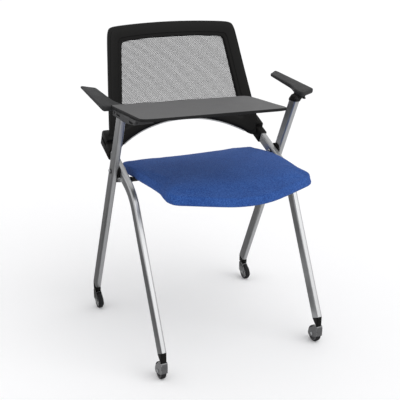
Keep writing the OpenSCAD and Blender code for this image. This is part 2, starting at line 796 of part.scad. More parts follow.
module arm_pad(side, front_y, cut) {
    points = [for (p = pad_outline(front_y, cut)) [pad_outer_x + p[0], p[1]]];
    middle = [pad_outer_x - pad_front_w / 2, arm_top_y];
    ring = function (e) [for (p = inset(points, pad_round * e[0]))
        [p[0], p[1], pad_t - pad_depth(p[1]) * (1 - e[1])]];
    color(charcoal) mirror([side < 0 ? 1 : 0, 0, 0]) pad_place() ring_stack(
        [for (e = pad_edge_shares) ring(e)],
        [middle[0], middle[1], pad_t - pad_depth(middle[1])],
        [middle[0], middle[1], pad_t]
    );
}

// Cap on the top of an arm leg, up to the plane under the pad
module leg_cap(side) {
    intersection() {
        on_arm_leg(side) translate([0, 0, arm_leg_len - bracket_wall]) linear_extrude(3 * tube_d)
            oval(tube_w + 2 * bracket_wall, tube_d + 2 * bracket_wall, tube_r + bracket_wall);
        pad_place() translate([side * arm_leg_x - tube_d, arm_top_y - 2 * tube_d, -tube_d - 6 * tube_w])
            cube([2 * tube_d, 4 * tube_d, tube_d + 6 * tube_w]);
    }
}

function flange_y(side) = arm_top_y - (side == left ? flange_ahead : -flange_behind);
module pad_flange(side) {
    pad_place() translate([side * arm_leg_x, flange_y(side), -flange_t])
        linear_extrude(flange_t) oval(flange_w, flange_len, pad_corner);
}

// The two screws of a pad sit side by side, at the end of the flange that is clear of the cap
module pad_screw_places(side) {
    across = flange_w / 2 - screw_head_d / 2 - over;
    along = flange_len / 2 - screw_head_d / 2 - over;
    for (k = [-1, 1]) {
        pad_place() translate([side * arm_leg_x + k * across, flange_y(side) - side * along, 0]) children();
    }
}

module leg_plug(side) {
    on_arm_leg(side) translate([0, 0, arm_leg_len - plug_len])
        linear_extrude(plug_len) tube_inside(plug_gap);
}

// Space that the tube's end takes inside the cap
module leg_end_space(side) {
    on_arm_leg(side) translate([0, 0, arm_leg_len - 2 * bracket_wall]) linear_extrude(2 * bracket_wall)
        difference() {
            oval(tube_w + 2 * plug_gap, tube_d + 2 * plug_gap, tube_r);
            tube_inside(plug_gap);
        }
}

module arm_bracket_body(side) {
    difference() {
        union() {
            leg_cap(side);
            leg_plug(side);
            pad_flange(side);
        }
        leg_end_space(side);
        pad_screw_places(side) translate([0, 0, -2 * flange_t])
            cylinder(d = screw_d + 2 * plug_gap, h = 3 * flange_t);
    }
}

module arm_bracket_left() {
    color(black) arm_bracket_body(left);
}

// Bracket under the right pad: it also holds the tongue on which the hinge beam tips
module tablet_bracket() {
    color(black) difference() {
        union() {
            difference() {
                arm_bracket_body(right);
                translate([-arm_leg_x - beam_w, beam_pin_y, beam_pin_z]) rotate([0, 90, 0])
                    cylinder(r = beam_sweep_r, h = 2 * beam_w);
                translate([-arm_leg_x - beam_w, beam_pin_y - beam_len, beam_pin_z - beam_sweep_r])
                    cube([2 * beam_w, beam_len, 2 * beam_sweep_r]);
            }
            translate([-arm_leg_x - tongue_t / 2, beam_pin_y, beam_pin_z]) rotate([0, 90, 0])
                cylinder(r = tongue_r, h = tongue_t);
            translate([-arm_leg_x - tongue_t / 2, beam_pin_y, beam_pin_z - tongue_r])
                cube([tongue_t, arm_top_y - beam_pin_y - tube_d / 4, tongue_r * 1.5]);
        }
        translate([-arm_leg_x - tongue_t, beam_pin_y, beam_pin_z]) rotate([0, 90, 0])
            cylinder(d = beam_pin_d + 2 * run_gap, h = 2 * tongue_t);
    }
}

module arm_screws() {
    color(steel) for (side = [right, left]) {
        pad_screw_places(side) {
            translate([0, 0, -flange_t]) cylinder(d = screw_d, h = flange_t);
            translate([0, 0, -flange_t - screw_head_t]) cylinder(d = screw_head_d, h = screw_head_t);
        }
    }
}

// Beam under the board's hinge side, seen from the side: deep at its root, thin at its tip
beam_x = board_pin_x;
beam_side_shares = [[0, 1], [0.5, 1.08], [0.72, 0.95], [1, 0.6]];
module beam_side() {
    top = board_bottom_z - free_gap;
    polygon(concat(
        [[beam_rear_y, top], [beam_rear_y - beam_len, top]],
        [for (k = [len(beam_side_shares) - 1 : -1 : 0]) let (s = beam_side_shares[k])
            [beam_rear_y - s[0] * beam_len, top - s[1] * beam_h]]
    ));
}

// Lays a side view on the YZ plane and gives it a width along X
module across(x, w) {
    translate([x, 0, 0]) rotate([90, 0, 90]) linear_extrude(w) children();
}

module along_board(y_from, len) {
    translate([board_pin_x, y_from, board_pin_z]) rotate([90, 0, 0]) translate([0, 0, -len]) children();
}

function knuckle_y(k) = k == 0
    ? beam_rear_y - knuckle_inset - knuckle_len
    : beam_rear_y - beam_len + knuckle_inset / 2;

module hinge_beam() {
    color(charcoal) difference() {
        union() {
            across(beam_x, beam_w) beam_side();
            intersection() {
                across(beam_x - barrel_r, barrel_r + over) beam_side();
                union() {
                    along_board(beam_rear_y - beam_len, beam_len) cylinder(r = barrel_r, h = beam_len);
                    translate([beam_x - barrel_r, beam_rear_y - beam_len, board_pin_z - 3 * barrel_r])
                        cube([barrel_r + over, beam_len, 3 * barrel_r]);
                }
            }
        }
        // Slot for the tongue of the bracket
        translate([-arm_leg_x - tongue_t / 2 - free_gap, beam_pin_y - tongue_r - 2 * over,
            board_z - 2 * tube_d]) cube([tongue_t + 2 * free_gap, 2 * tube_d, 2 * tube_d]);
        // Bore for the beam pin
        translate([beam_x - 2 * barrel_r, beam_pin_y, beam_pin_z]) rotate([0, 90, 0])
            cylinder(d = beam_pin_d + 2 * run_gap, h = beam_w + 4 * barrel_r);
        // Bore for the board pin
        along_board(beam_rear_y - beam_len - over, beam_len + 2 * over)
            cylinder(d = board_pin_d + 2 * run_gap, h = beam_len + 2 * over);
        // Pockets for the leaf and its knuckles
        for (k = [0, 1]) {
            translate([beam_x - 2 * barrel_r, knuckle_y(k) - free_gap, board_pin_z - barrel_r - free_gap])
                cube([3 * barrel_r + free_gap, knuckle_len + 2 * free_gap, 4 * barrel_r]);
            translate([beam_x, knuckle_y(k) - free_gap, board_bottom_z - leaf_t - free_gap])
                cube([beam_w + over, knuckle_len + 2 * free_gap, 2 * leaf_t]);
        }
    }
}

module beam_pin() {
    color(steel) translate([-arm_leg_x, beam_pin_y, beam_pin_z]) rotate([0, 90, 0])
        translate([0, 0, -beam_w / 2 + over]) cylinder(d = beam_pin_d, h = beam_w - 4 * over);
}

module board_pin() {
    color(steel) along_board(beam_rear_y - beam_len, beam_len) cylinder(d = board_pin_d, h = beam_len);
}

// Steel leaf under the board, with two knuckles round the board pin
module hinge_leaf() {
    leaf_z = board_bottom_z - leaf_t;
    inner_x = beam_x + beam_w + free_gap;
    color(steel) difference() {
        union() {
            for (k = [0, 1]) {
                along_board(knuckle_y(k), knuckle_len) cylinder(r = barrel_r, h = knuckle_len);
                translate([board_pin_x, knuckle_y(k), leaf_z]) cube([beam_w + leaf_t, knuckle_len, leaf_t]);
            }
            translate([inner_x, knuckle_y(1), leaf_z])
                cube([leaf_reach, knuckle_y(0) + knuckle_len - knuckle_y(1), leaf_t]);
        }
        along_board(beam_rear_y - beam_len - over, beam_len + 2 * over)
            cylinder(d = board_pin_d + 2 * run_gap, h = beam_len + 2 * over);
        board_screw_places() translate([0, 0, -2 * leaf_t])
            cylinder(d = screw_d + 2 * plug_gap, h = 3 * leaf_t);
    }
}

module board_screw_places() {
    for (dx = [0.2, 0.8]) {
        for (y = [knuckle_y(0) + knuckle_len / 2, knuckle_y(1) + knuckle_len / 2]) {
            translate([beam_x + beam_w + dx * leaf_reach, y, board_bottom_z]) children();
        }
    }
}

module board_screws() {
    color(steel) board_screw_places() {
        translate([0, 0, -leaf_t]) cylinder(d = screw_d, h = leaf_t + board_t / 2);
        translate([0, 0, -leaf_t - screw_head_t]) cylinder(d = screw_head_d, h = screw_head_t);
    }
}

// Board's outline from above, in shares of its length and of its depth, from the rear hinge corner
board_shares = [
    [0.028, -0.005], [0.3, -0.055], [0.6, -0.11], [0.86, -0.157], [0.935, -0.185], [0.965, -0.25],
    [0.982, -0.45], [0.998, -0.8], [1.012, -1.05], [0.985, -1.105], [0.9, -1.105], [0.6, -1.062],
    [0.3, -1.02], [0.12, -0.992], [0.045, -0.955], [0.026, -0.86], [0.015, -0.5], [0.002, -0.12],
    [0.005, -0.035]
];
board_outline = [
    for (p = curve([for (s = board_shares) [s[0] * board_w, s[1] * board_d]], 4))
        [board_left_x + p[0], board_rear_y + p[1]]
];

module tablet_board() {
    color(grey_board) difference() {
        translate([0, 0, board_bottom_z]) linear_extrude(board_t) polygon(board_outline);
        board_screw_places() translate([0, 0, -over])
            cylinder(d = screw_d + 2 * plug_gap, h = over + board_t / 2);
    }
}

// Puts a shape on the leg that ends over a front or a rear caster
module on_leg(side, front) {
    if (front) {
        on_seat_leg(side) children();
    } else {
        on_arm_leg(side) children();
    }
}

// Depth of a tube's slanted end seen from above, rounded to a hundredth
function plug_d(lean) = round(100 * tube_d * cos(lean)) / 100;

// Body with upright sides under the tube's slanted end, and a boss for the caster's stem
module plug_body(side, front, lift) {
    foot_x = side * (front ? seat_leg_x : arm_leg_x);
    foot_y = front ? seat_foot_y + lift * sin(seat_leg_lean) : arm_foot_y;
    lean = front ? seat_leg_lean : arm_leg_lean;
    difference() {
        translate([foot_x, foot_y, plug_bottom_z]) linear_extrude(plug_body_h)
            oval(tube_w, plug_d(lean), tube_r);
        on_leg(side, front) translate([-tube_d, -tube_d, lift])
            cube([2 * tube_d, 2 * tube_d, 2 * plug_body_h]);
        // The front plugs narrow towards the caster on the side of its wheel
        if (front) {
            caster_place(side, front) translate([-tube_d, 0, plug_bottom_z]) rotate([-plug_slant, 0, 0])
                cube([2 * tube_d, 2 * tube_d, plug_body_h]);
        }
    }
    caster_place(side, front) translate([0, 0, plug_bottom_z]) cylinder(r = plug_boss_r, h = stem_up);
}

// Plug in the lower end of a tube: an insert and the body under it, bored for the stem
module caster_plug(side, front) {
    lift = front ? front_lift : 0;
    color(black) difference() {
        union() {
            on_leg(side, front) translate([0, 0, lift - over]) linear_extrude(plug_len + over)
                tube_inside(plug_gap);
            plug_body(side, front, lift);
        }
        caster_place(side, front) translate([0, 0, plug_bottom_z - over])
            cylinder(d = stem_d + 2 * run_gap, h = stem_up + 2 * over);
    }
}

// Caster parts stand in the place of the tube end, with the swivel axis at the origin.
// The wheel lies behind the axis on the front casters and in front of it on the rear ones.
module caster_place(side, front) {
    translate([side * (front ? seat_leg_x : arm_leg_x), front ? front_stem_y : rear_stem_y, 0])
        mirror([0, front ? 0 : 1, 0]) children();
}

module wheel_axis() {
    translate([0, trail, wheel_r]) rotate([0, 90, 0]) children();
}

module caster_stem(side, front) {
    color(steel) caster_place(side, front) translate([0, 0, fork_top_z - stem_hold])
        cylinder(d = stem_d, h = stem_hold + plug_bottom_z - fork_top_z + stem_up);
}

// Side view of the fork from the wheel's middle, in shares of the wheel's radius, away from the stem and up
cheek_shares = [
    [0.89, 0.1], [0.68, 0.36], [0.12, 0.64], [-0.28, 0.98], [-0.4, 1.5], [-1.03, 1.5], [-1.08, 0.8],
    [-1.09, 0.1], [-0.99, -0.34], [-0.72, -0.64], [-0.3, -0.8], [0.25, -0.8], [0.68, -0.55],
    [0.9, -0.15]
];
module cheek_side() {
    difference() {
        intersection() {
            polygon(curve([for (p = cheek_shares) p * wheel_r], 3));
            translate([-2 * wheel_d, -wheel_d]) square([4 * wheel_d, wheel_d + fork_top_z - wheel_r]);
        }
        circle(d = axle_d);
    }
}

module caster_fork(side, front) {
    color(steel) caster_place(side, front) difference() {
        translate([-fork_out_w / 2, trail, wheel_r]) rotate([90, 0, 90])
            linear_extrude(fork_out_w) cheek_side();
        translate([0, 0, wheel_r]) cylinder(d = stem_d, h = fork_top_z);
        wheel_axis() translate([0, 0, -fork_in_w / 2]) cylinder(r = wheel_r + hood_gap, h = fork_in_w);
    }
}

module caster_axle(side, front) {
    color(steel) caster_place(side, front) wheel_axis() {
        translate([0, 0, -fork_out_w / 2]) cylinder(d = axle_d, h = fork_out_w);
        for (s = [-1, 1]) {
            translate([0, 0, s * (fork_out_w + axle_head_t) / 2 - axle_head_t / 2])
                cylinder(d = axle_head_d, h = axle_head_t);
        }
    }
}

module caster_wheel(side, front) {
    rim_r = wheel_r - tyre_t;
    color(charcoal) caster_place(side, front) wheel_axis() difference() {
        union() {
            translate([0, 0, -hub_w / 2]) cylinder(r = hub_r, h = hub_w);
            translate([0, 0, -wheel_web_w / 2]) cylinder(r = rim_r, h = wheel_web_w);
            difference() {
                translate([0, 0, -tyre_w / 2]) cylinder(r = rim_r, h = tyre_w);
                translate([0, 0, -tyre_w / 2 - over])
                    cylinder(r = rim_r - tyre_t / 2, h = tyre_w + 2 * over);
            }
        }
        translate([0, 0, -hub_w / 2 - over]) cylinder(d = axle_d + 2 * run_gap, h = hub_w + 2 * over);
    }
}

module caster_tyre(side, front) {
    color(rubber) caster_place(side, front) wheel_axis() rotate_extrude()
        translate([wheel_r - tyre_t, 0]) polygon([
            [0, -tyre_w / 2], [tyre_t - tyre_crown, -tyre_w / 2],
            [tyre_t - tyre_crown / 4, -tyre_w / 2 + tyre_crown],
            [tyre_t, -tyre_w / 4], [tyre_t, tyre_w / 4],
            [tyre_t - tyre_crown / 4, tyre_w / 2 - tyre_crown],
            [tyre_t - tyre_crown, tyre_w / 2], [0, tyre_w / 2]
        ]);
}

// Front ends of the two pads: the right one stops behind the board
pad_board_gap = 6.5;
pad_ahead = 18;
pad_front_cut = 22;
pad_front_right_y = board_rear_y + pad_board_gap;
pad_front_left_y = arm_top_y - pad_ahead;

arm_leg(right);  // arm_leg_right
arm_leg(left);  // arm_leg_left
seat_leg(right);  // seat_leg_right
seat_leg(left);  // seat_leg_left
leg_spacer(right);  // leg_spacer_right
leg_spacer(left);  // leg_spacer_left
leg_brace(right);  // leg_brace_right
leg_brace(left);  // leg_brace_left
leg_bolts();
pivot_bar();
pivot_collar(right);  // pivot_collar_right
pivot_collar(left);  // pivot_collar_left
seat_rest(right);  // seat_rest_right
seat_rest(left);  // seat_rest_left
back_frame();
back_mesh();
back_screws();
arm_bracket_left();
tablet_bracket();
arm_pad(right, pad_front_right_y, 0);  // arm_pad_right
arm_pad(left, pad_front_left_y, pad_front_cut);  // arm_pad_left
arm_screws();
hinge_beam();
beam_pin();
board_pin();
hinge_leaf();
tablet_board();
board_screws();
seat_cushion();
seat_pan();
seat_hinge(right);  // seat_hinge_right
seat_hinge(left);  // seat_hinge_left
seat_bumpers();
seat_screws();
caster_plug(right, true);  // caster_plug_front_right
caster_stem(right, true);  // caster_stem_front_right
caster_fork(right, true);  // caster_fork_front_right
caster_axle(right, true);  // caster_axle_front_right
caster_wheel(right, true);  // caster_wheel_front_right
caster_tyre(right, true);  // caster_tyre_front_right
caster_plug(left, true);  // caster_plug_front_left
caster_stem(left, true);  // caster_stem_front_left
caster_fork(left, true);  // caster_fork_front_left
caster_axle(left, true);  // caster_axle_front_left
caster_wheel(left, true);  // caster_wheel_front_left
caster_tyre(left, true);  // caster_tyre_front_left
caster_plug(right, false);  // caster_plug_rear_right
caster_stem(right, false);  // caster_stem_rear_right
caster_fork(right, false);  // caster_fork_rear_right
caster_axle(right, false);  // caster_axle_rear_right
caster_wheel(right, false);  // caster_wheel_rear_right
caster_tyre(right, false);  // caster_tyre_rear_right
caster_plug(left, false);  // caster_plug_rear_left
caster_stem(left, false);  // caster_stem_rear_left
caster_fork(left, false);  // caster_fork_rear_left
caster_axle(left, false);  // caster_axle_rear_left
caster_wheel(left, false);  // caster_wheel_rear_left
caster_tyre(left, false);  // caster_tyre_rear_left
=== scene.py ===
# %% [markdown]
# # A nesting chair with a writing tablet
# The chair stands on four swivel casters. Flat oval steel legs cross at each side, a moulded ring
# holds a stretched net as the back, and a cloth seat turns up so that chairs nest into each other.
# The CAD model gives every size and every moving body. This notebook loads it, keeps the solids
# whose shape is already right, builds finer pieces for the rest, and gives everything its finish.

# %% Load the frame
import json
import math

import bmesh
import bpy
import numpy as np
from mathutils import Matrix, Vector
from mathutils.kdtree import KDTree


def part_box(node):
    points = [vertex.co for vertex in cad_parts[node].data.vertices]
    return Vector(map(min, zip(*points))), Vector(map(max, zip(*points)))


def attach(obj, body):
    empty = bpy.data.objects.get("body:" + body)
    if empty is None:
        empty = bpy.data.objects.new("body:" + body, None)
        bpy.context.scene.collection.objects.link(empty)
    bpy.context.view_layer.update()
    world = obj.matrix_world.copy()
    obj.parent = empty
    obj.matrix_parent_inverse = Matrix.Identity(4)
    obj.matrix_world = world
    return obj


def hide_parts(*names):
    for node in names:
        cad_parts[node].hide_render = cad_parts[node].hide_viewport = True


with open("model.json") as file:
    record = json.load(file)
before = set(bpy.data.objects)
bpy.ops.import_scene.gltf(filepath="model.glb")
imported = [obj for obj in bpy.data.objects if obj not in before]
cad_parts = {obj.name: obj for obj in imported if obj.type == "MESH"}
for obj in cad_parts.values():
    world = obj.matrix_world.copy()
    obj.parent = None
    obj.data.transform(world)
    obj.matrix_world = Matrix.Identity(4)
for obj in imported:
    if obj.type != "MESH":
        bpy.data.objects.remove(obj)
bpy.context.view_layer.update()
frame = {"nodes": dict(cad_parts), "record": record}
nodes = frame["nodes"]
slot_of = {part["node"]: part["material_slot"] for part in frame["record"]["subparts"]}
MM = 0.001


def placed(name, data):
    """A new object in the scene."""
    thing = bpy.data.objects.new(name, data)
    bpy.context.scene.collection.objects.link(thing)
    return thing


def mesh_of(name, points, edges=(), faces=()):
    mesh = bpy.data.meshes.new(name)
    mesh.from_pydata([tuple(p) for p in points], list(edges), list(faces))
    return mesh


def evaluated(thing):
    """A plain mesh of an object, as its modifiers leave it."""
    graph = bpy.context.evaluated_depsgraph_get()
    return bpy.data.meshes.new_from_object(thing.evaluated_get(graph), depsgraph=graph)


# %% [markdown]
# ## Camera
# The photograph looks slightly down on the chair from the sitter's right front. A long lens (about
# 69 mm) keeps the perspective gentle. Its place and angles were fitted to the photograph's outline.

# %% Camera
camera_data = bpy.data.cameras.new("camera")
camera_data.sensor_fit = "HORIZONTAL"
camera_data.sensor_width = 36
camera_data.lens = 69.08
camera = placed("camera", camera_data)
camera.location = (-0.8505, -1.77955, 1.0517)
camera.rotation_euler = (math.radians(71.162), 0, math.radians(-24.8795))
bpy.context.scene.camera = camera
print("camera", tuple(camera.location))

# %% [markdown]
# ## Helpers for node trees
# The world, the floor, the finishes and the Geometry Nodes trees are all built by the same few
# functions: one adds a node, one a math step, one a colour mix, and one lays a wire. A value may be
# a plain number or the output of another node.

# %% Helpers for node trees
def wire(tree, source, target):
    tree.links.new(source, target)


def feed(tree, socket, value):
    """Wires a node's output to a socket, or writes a plain value into it."""
    if isinstance(value, bpy.types.NodeSocket):
        tree.links.new(value, socket)
    elif value is not None:
        socket.default_value = value


def add(tree, kind, settings=None, **inputs):
    made = tree.nodes.new(kind)
    for key, value in (settings or {}).items():
        setattr(made, key, value)
    for key, value in inputs.items():
        feed(tree, made.inputs[key.replace("_", " ")], value)
    return made


def math_of(tree, operation, a, b=None):
    made = add(tree, "ShaderNodeMath", {"operation": operation})
    feed(tree, made.inputs[0], a)
    feed(tree, made.inputs[1], b)
    return made.outputs[0]


def mixed(tree, factor, a, b):
    """A colour between a and b. Each of them is a plain colour or the output of a node."""
    a, b = (c if isinstance(c, bpy.types.NodeSocket) else (*c, 1) for c in (a, b))
    made = add(tree, "ShaderNodeMix", {"data_type": "RGBA"}, Factor=factor, A=a, B=b)
    return made.outputs["Result"]


def group_node(tree, group, **inputs):
    return add(tree, "ShaderNodeGroup", {"node_tree": group}, **inputs).outputs


def new_group(name, inputs, outputs, kind="ShaderNodeTree"):
    """A node group with named sockets, and the sockets inside it to build from and to."""
    group = bpy.data.node_groups.new(name, kind)
    for label, sort, value in inputs:
        socket = group.interface.new_socket(label, in_out="INPUT", socket_type="NodeSocket" + sort)
        if value is not None:
            socket.default_value = value
    for label, sort in outputs:
        group.interface.new_socket(label, in_out="OUTPUT", socket_type="NodeSocket" + sort)
    return group, group.nodes.new("NodeGroupInput").outputs, group.nodes.new("NodeGroupOutput").inputs


finishes = {}


def new_finish(name):
    """An empty finish: its node tree and the sockets of its shader."""
    material = bpy.data.materials.new(name)
    material.use_nodes = True
    finishes[name] = material
    return material.node_tree, material.node_tree.nodes["Principled BSDF"].inputs


def vary_roughness(tree, shader, value, low, high):
    spread = add(tree, "ShaderNodeMapRange", None, Value=value, To_Min=low, To_Max=high)
    wire(tree, spread.outputs["Result"], shader["Roughness"])


def raise_relief(tree, shader, height, strength, distance, **more):
    relief = add(tree, "ShaderNodeBump", None, Strength=strength, Distance=distance, Height=height, **more)
    wire(tree, relief.outputs[0], shader["Normal"])


print("helpers ready")

# %% [markdown]
# ## Light, floor and cards
# Soft studio light comes from two very wide suns: a key from above the sitter's left front and a
# weak, low fill from the front. A sun keeps its level at any distance, so the pale floor is even out
# to the horizon. The world is a calm grey for diffuse light. To the camera, in mirrors and through
# glass it is plain white, as a paper backdrop would be.

# %% Suns
WHITE = (1.0, 1.0, 1.0)


def sun(name, towards, strength, spread):
    data = bpy.data.lights.new(name, "SUN")
    data.energy = strength
    data.angle = math.radians(spread)
    placed(name, data).rotation_euler = (-Vector(towards)).to_track_quat("-Z", "Y").to_euler()


sun("key", towards=(0.35, -0.85, 1.0), strength=1.05, spread=60)
sun("fill", towards=(0.1, -1.0, 0.35), strength=0.12, spread=70)
print("suns:", [lamp.name for lamp in bpy.data.lights])

# %% World
WORLD_TONE = (0.77, 0.77, 0.78)
world = bpy.data.worlds.new("studio")
bpy.context.scene.world = world
world.use_nodes = True
tree = world.node_tree
tree.nodes.clear()
ray = add(tree, "ShaderNodeLightPath").outputs
clear = math_of(tree, "MAXIMUM", ray["Is Camera Ray"], ray["Is Glossy Ray"])
clear = math_of(tree, "MAXIMUM", clear, ray["Is Transmission Ray"])
sky = add(tree, "ShaderNodeBackground", None, Color=mixed(tree, clear, WORLD_TONE, WHITE))
wire(tree, sky.outputs[0], add(tree, "ShaderNodeOutputWorld").inputs[0])
bpy.context.scene.view_settings.view_transform = "Standard"
print("world tone", WORLD_TONE)

# %% [markdown]
# The floor looks white to the camera and is a little darker for bounced light. Two dark cards, a low
# wall on the chair's tablet side and a sheet on the floor, are seen by reflections alone: they draw
# the dark side of the bright tubes. The floor sheet has a notch under the chair, so that the far
# leg stays bright.

# %% Floor and cards
def plain(name, color, rough):
    tree, shader = new_finish(name)
    feed(tree, shader["Base Color"], (*color, 1))
    feed(tree, shader["Roughness"], rough)
    feed(tree, shader["Specular IOR Level"], 0)
    return tree, shader


def stage_plane(name, corners, finish):
    mesh = mesh_of(name, corners, faces=[range(len(corners))])
    mesh.materials.append(finishes[finish])
    plane = placed(name, mesh)
    return plane


FLOOR, FLOOR_TONE = 30, (0.86, 0.86, 0.86)
tree, shader = plain("pale_floor", FLOOR_TONE, 0.9)
seen = add(tree, "ShaderNodeLightPath").outputs["Is Camera Ray"]
wire(tree, mixed(tree, seen, FLOOR_TONE, WHITE), shader["Base Color"])
stage_plane("floor", [(x * FLOOR, y * FLOOR, 0) for x, y in ((-1, -1), (1, -1), (1, 1), (-1, 1))],
            "pale_floor")

CARD_X, CARD_FRONT, CARD_REAR, CARD_LOW, CARD_TOP, CARD_LEVEL = -0.42, -1.0, 1.6, 0.004, 0.3, 0.003
WALL_CARD = [(CARD_X, y, z) for y, z in (
    (CARD_FRONT, CARD_LOW), (CARD_REAR, CARD_LOW), (CARD_REAR, CARD_TOP), (CARD_FRONT, CARD_TOP))]
FLOOR_CARD = [(x, y, CARD_LEVEL) for x, y in (
    (-1.8, -0.15), (-0.27, -0.15), (-0.27, 0.3), (0.0, 0.3), (0.0, -0.06), (0.2, -0.06), (0.2, 3.0),
    (-1.8, 3.0))]
plain("card", (0.2, 0.2, 0.2), 1)
for name, corners in (("wall_card", WALL_CARD), ("floor_card", FLOOR_CARD)):
    card = stage_plane(name, corners, "card")
    for kind_of_ray in ("camera", "diffuse", "shadow", "transmission"):
        setattr(card, "visible_" + kind_of_ray, False)
print("stage ready")

# %% [markdown]
# ## Shared surface effects
# Real surfaces are never one flat value. Three effects come back in many finishes here, so each is a
# node group with named sockets: the fine grain of moulded plastic, the slow mottling that handling
# and dust leave, and the lightening of edges, which is scuffing on most finishes and a painted
# highlight on the caster forks. The last one compares the surface normal with the normal of a
# slightly rounded surface: where they differ there is an edge.

# %% Group: moulded grain
grain_group, into, outof = new_group(
    "moulded grain", [("Vector", "Vector", None), ("Scale", "Float", 1400.0)], [("Height", "Float")])
cells = add(grain_group, "ShaderNodeTexVoronoi", {"feature": "SMOOTH_F1"}, Vector=into["Vector"],
            Scale=into["Scale"])
fine = add(grain_group, "ShaderNodeTexNoise", None, Vector=into["Vector"], Scale=into["Scale"], Detail=3.0)
wire(grain_group, math_of(grain_group, "ADD", cells.outputs["Distance"], fine.outputs[0]), outof["Height"])

# %% Group: mottling
mottle_group, into, outof = new_group(
    "mottling", [("Vector", "Vector", None), ("Scale", "Float", 30.0), ("Low", "Float", 0.0),
                 ("High", "Float", 1.0)], [("Value", "Float")])
patches = add(mottle_group, "ShaderNodeTexNoise", None, Vector=into["Vector"], Scale=into["Scale"],
              Detail=5.0, Roughness=0.62)
spread = add(mottle_group, "ShaderNodeMapRange", None, Value=patches.outputs[0], From_Min=0.3,
             From_Max=0.7, To_Min=into["Low"], To_Max=into["High"])
wire(mottle_group, spread.outputs["Result"], outof["Value"])

# %% Group: edge scuffs and painted highlight
scuff_and_highlight_group, into, outof = new_group(
    "edge scuff_and_highlight", [("Vector", "Vector", None), ("Radius", "Float", 0.001)],
    [("Mask", "Float"), ("Normal", "Vector")])
rounded = add(scuff_and_highlight_group, "ShaderNodeBevel", {"samples": 4}, Radius=into["Radius"])
flat = add(scuff_and_highlight_group, "ShaderNodeNewGeometry")
along = add(scuff_and_highlight_group, "ShaderNodeVectorMath", {"operation": "DOT_PRODUCT"})
wire(scuff_and_highlight_group, rounded.outputs[0], along.inputs[0])
wire(scuff_and_highlight_group, flat.outputs["Normal"], along.inputs[1])
EDGE_GAIN = 5.0
edge = math_of(scuff_and_highlight_group, "SUBTRACT", 1.0, along.outputs["Value"])
edge = math_of(scuff_and_highlight_group, "MULTIPLY", edge, EDGE_GAIN)
broken = add(scuff_and_highlight_group, "ShaderNodeTexNoise", None, Vector=into["Vector"], Scale=120.0, Detail=4.0)
lit_scuff = math_of(scuff_and_highlight_group, "MULTIPLY", edge, broken.outputs[0])
limit = add(scuff_and_highlight_group, "ShaderNodeClamp", None, Value=lit_scuff)
wire(scuff_and_highlight_group, limit.outputs[0], outof["Mask"])
wire(scuff_and_highlight_group, rounded.outputs[0], outof["Normal"])
print("groups:", [g.name for g in bpy.data.node_groups])

# %% [markdown]
# ## Hard finishes
# Satin tube, plated steel, plastics and rubber are one recipe with different values: a base colour
# that the mottling shifts a little, edges that the edge mask lightens (scuffs, and on the forks a
# painted highlight), roughness that varies, and a bump from the grain. The bump starts from the
# rounded normal, so that even a sharp CAD edge catches a thin line of light as a real moulded or
# bent edge does.

# %% Function: hard finish
def hard_finish(name, color, lit_scuff_color, rough, metal=0.0, specular=0.3, grain=1400.0, bump=0.05,
                mottle=35.0, shift=0.12, radius=0.0006, scuff_and_highlight=0.5):
    tree, shader = new_finish(name)
    place = add(tree, "ShaderNodeTexCoord").outputs["Object"]
    patches = group_node(tree, mottle_group, Vector=place, Scale=mottle, Low=0.0, High=1.0)["Value"]
    edges = group_node(tree, scuff_and_highlight_group, Vector=place, Radius=radius)
    base = mixed(tree, patches, [c * (1 - shift) for c in color], [c * (1 + shift) for c in color])
    # The edge mask mixes in the edge colour: scuffs, and on the forks a painted highlight.
    lit_scuff = math_of(tree, "MULTIPLY", edges["Mask"], scuff_and_highlight)
    wire(tree, mixed(tree, lit_scuff, base, lit_scuff_color), shader["Base Color"])
    vary_roughness(tree, shader, patches, rough * 0.9, rough * 1.12)
    height = group_node(tree, grain_group, Vector=place, Scale=grain)["Height"]
    raise_relief(tree, shader, height, bump, 0.0005, Normal=edges["Normal"])
    feed(tree, shader["Metallic"], metal)
    feed(tree, shader["Specular IOR Level"], specular)


# %% Hard finishes of this chair
hard_finish("satin_tube", (0.43, 0.435, 0.44), (0.55, 0.555, 0.56), 0.3, metal=0.92, grain=2600.0,
            bump=0.005, mottle=25.0, shift=0.04, radius=0.0012, scuff_and_highlight=0.35)
hard_finish("plated_steel", (0.42, 0.43, 0.44), (0.7, 0.7, 0.71), 0.3, metal=1.0, grain=900.0,
            bump=0.06, mottle=90.0, shift=0.12)
# The forks' edges are painted near white: a painted highlight along the sheet's edges.
hard_finish("fork_metal", (0.14, 0.141, 0.143), (0.8, 0.8, 0.81), 0.2, metal=1.0, grain=500.0,
            bump=0.03, mottle=120.0, shift=0.12, radius=0.001, scuff_and_highlight=0.9)
hard_finish("tyre_rubber", (0.012, 0.012, 0.013), (0.05, 0.05, 0.05), 0.68, specular=0.2, bump=0.12,
            mottle=160.0, shift=0.3)
hard_finish("wheel_plastic", (0.10, 0.10, 0.105), (0.2, 0.2, 0.2), 0.5, mottle=120.0)
hard_finish("bumper_rubber", (0.03, 0.03, 0.03), (0.06, 0.06, 0.06), 0.75, specular=0.2, bump=0.15)
hard_finish("pad_plastic", (0.024, 0.0243, 0.025), (0.075, 0.075, 0.075), 0.6, specular=0.2, bump=0.16,
            grain=1500.0, scuff_and_highlight=0.6, radius=0.0012)
hard_finish("board_plastic", (0.1, 0.1, 0.101), (0.16, 0.16, 0.16), 0.6, specular=0.3, bump=0.12,
            grain=1800.0, mottle=18.0, shift=0.07, scuff_and_highlight=0.4)
hard_finish("board_edge", (0.009, 0.009, 0.0095), (0.04, 0.04, 0.04), 0.5, specular=0.15, bump=0.1)
hard_finish("beam_plastic", (0.040, 0.040, 0.042), (0.10, 0.10, 0.10), 0.52, specular=0.25, bump=0.14)
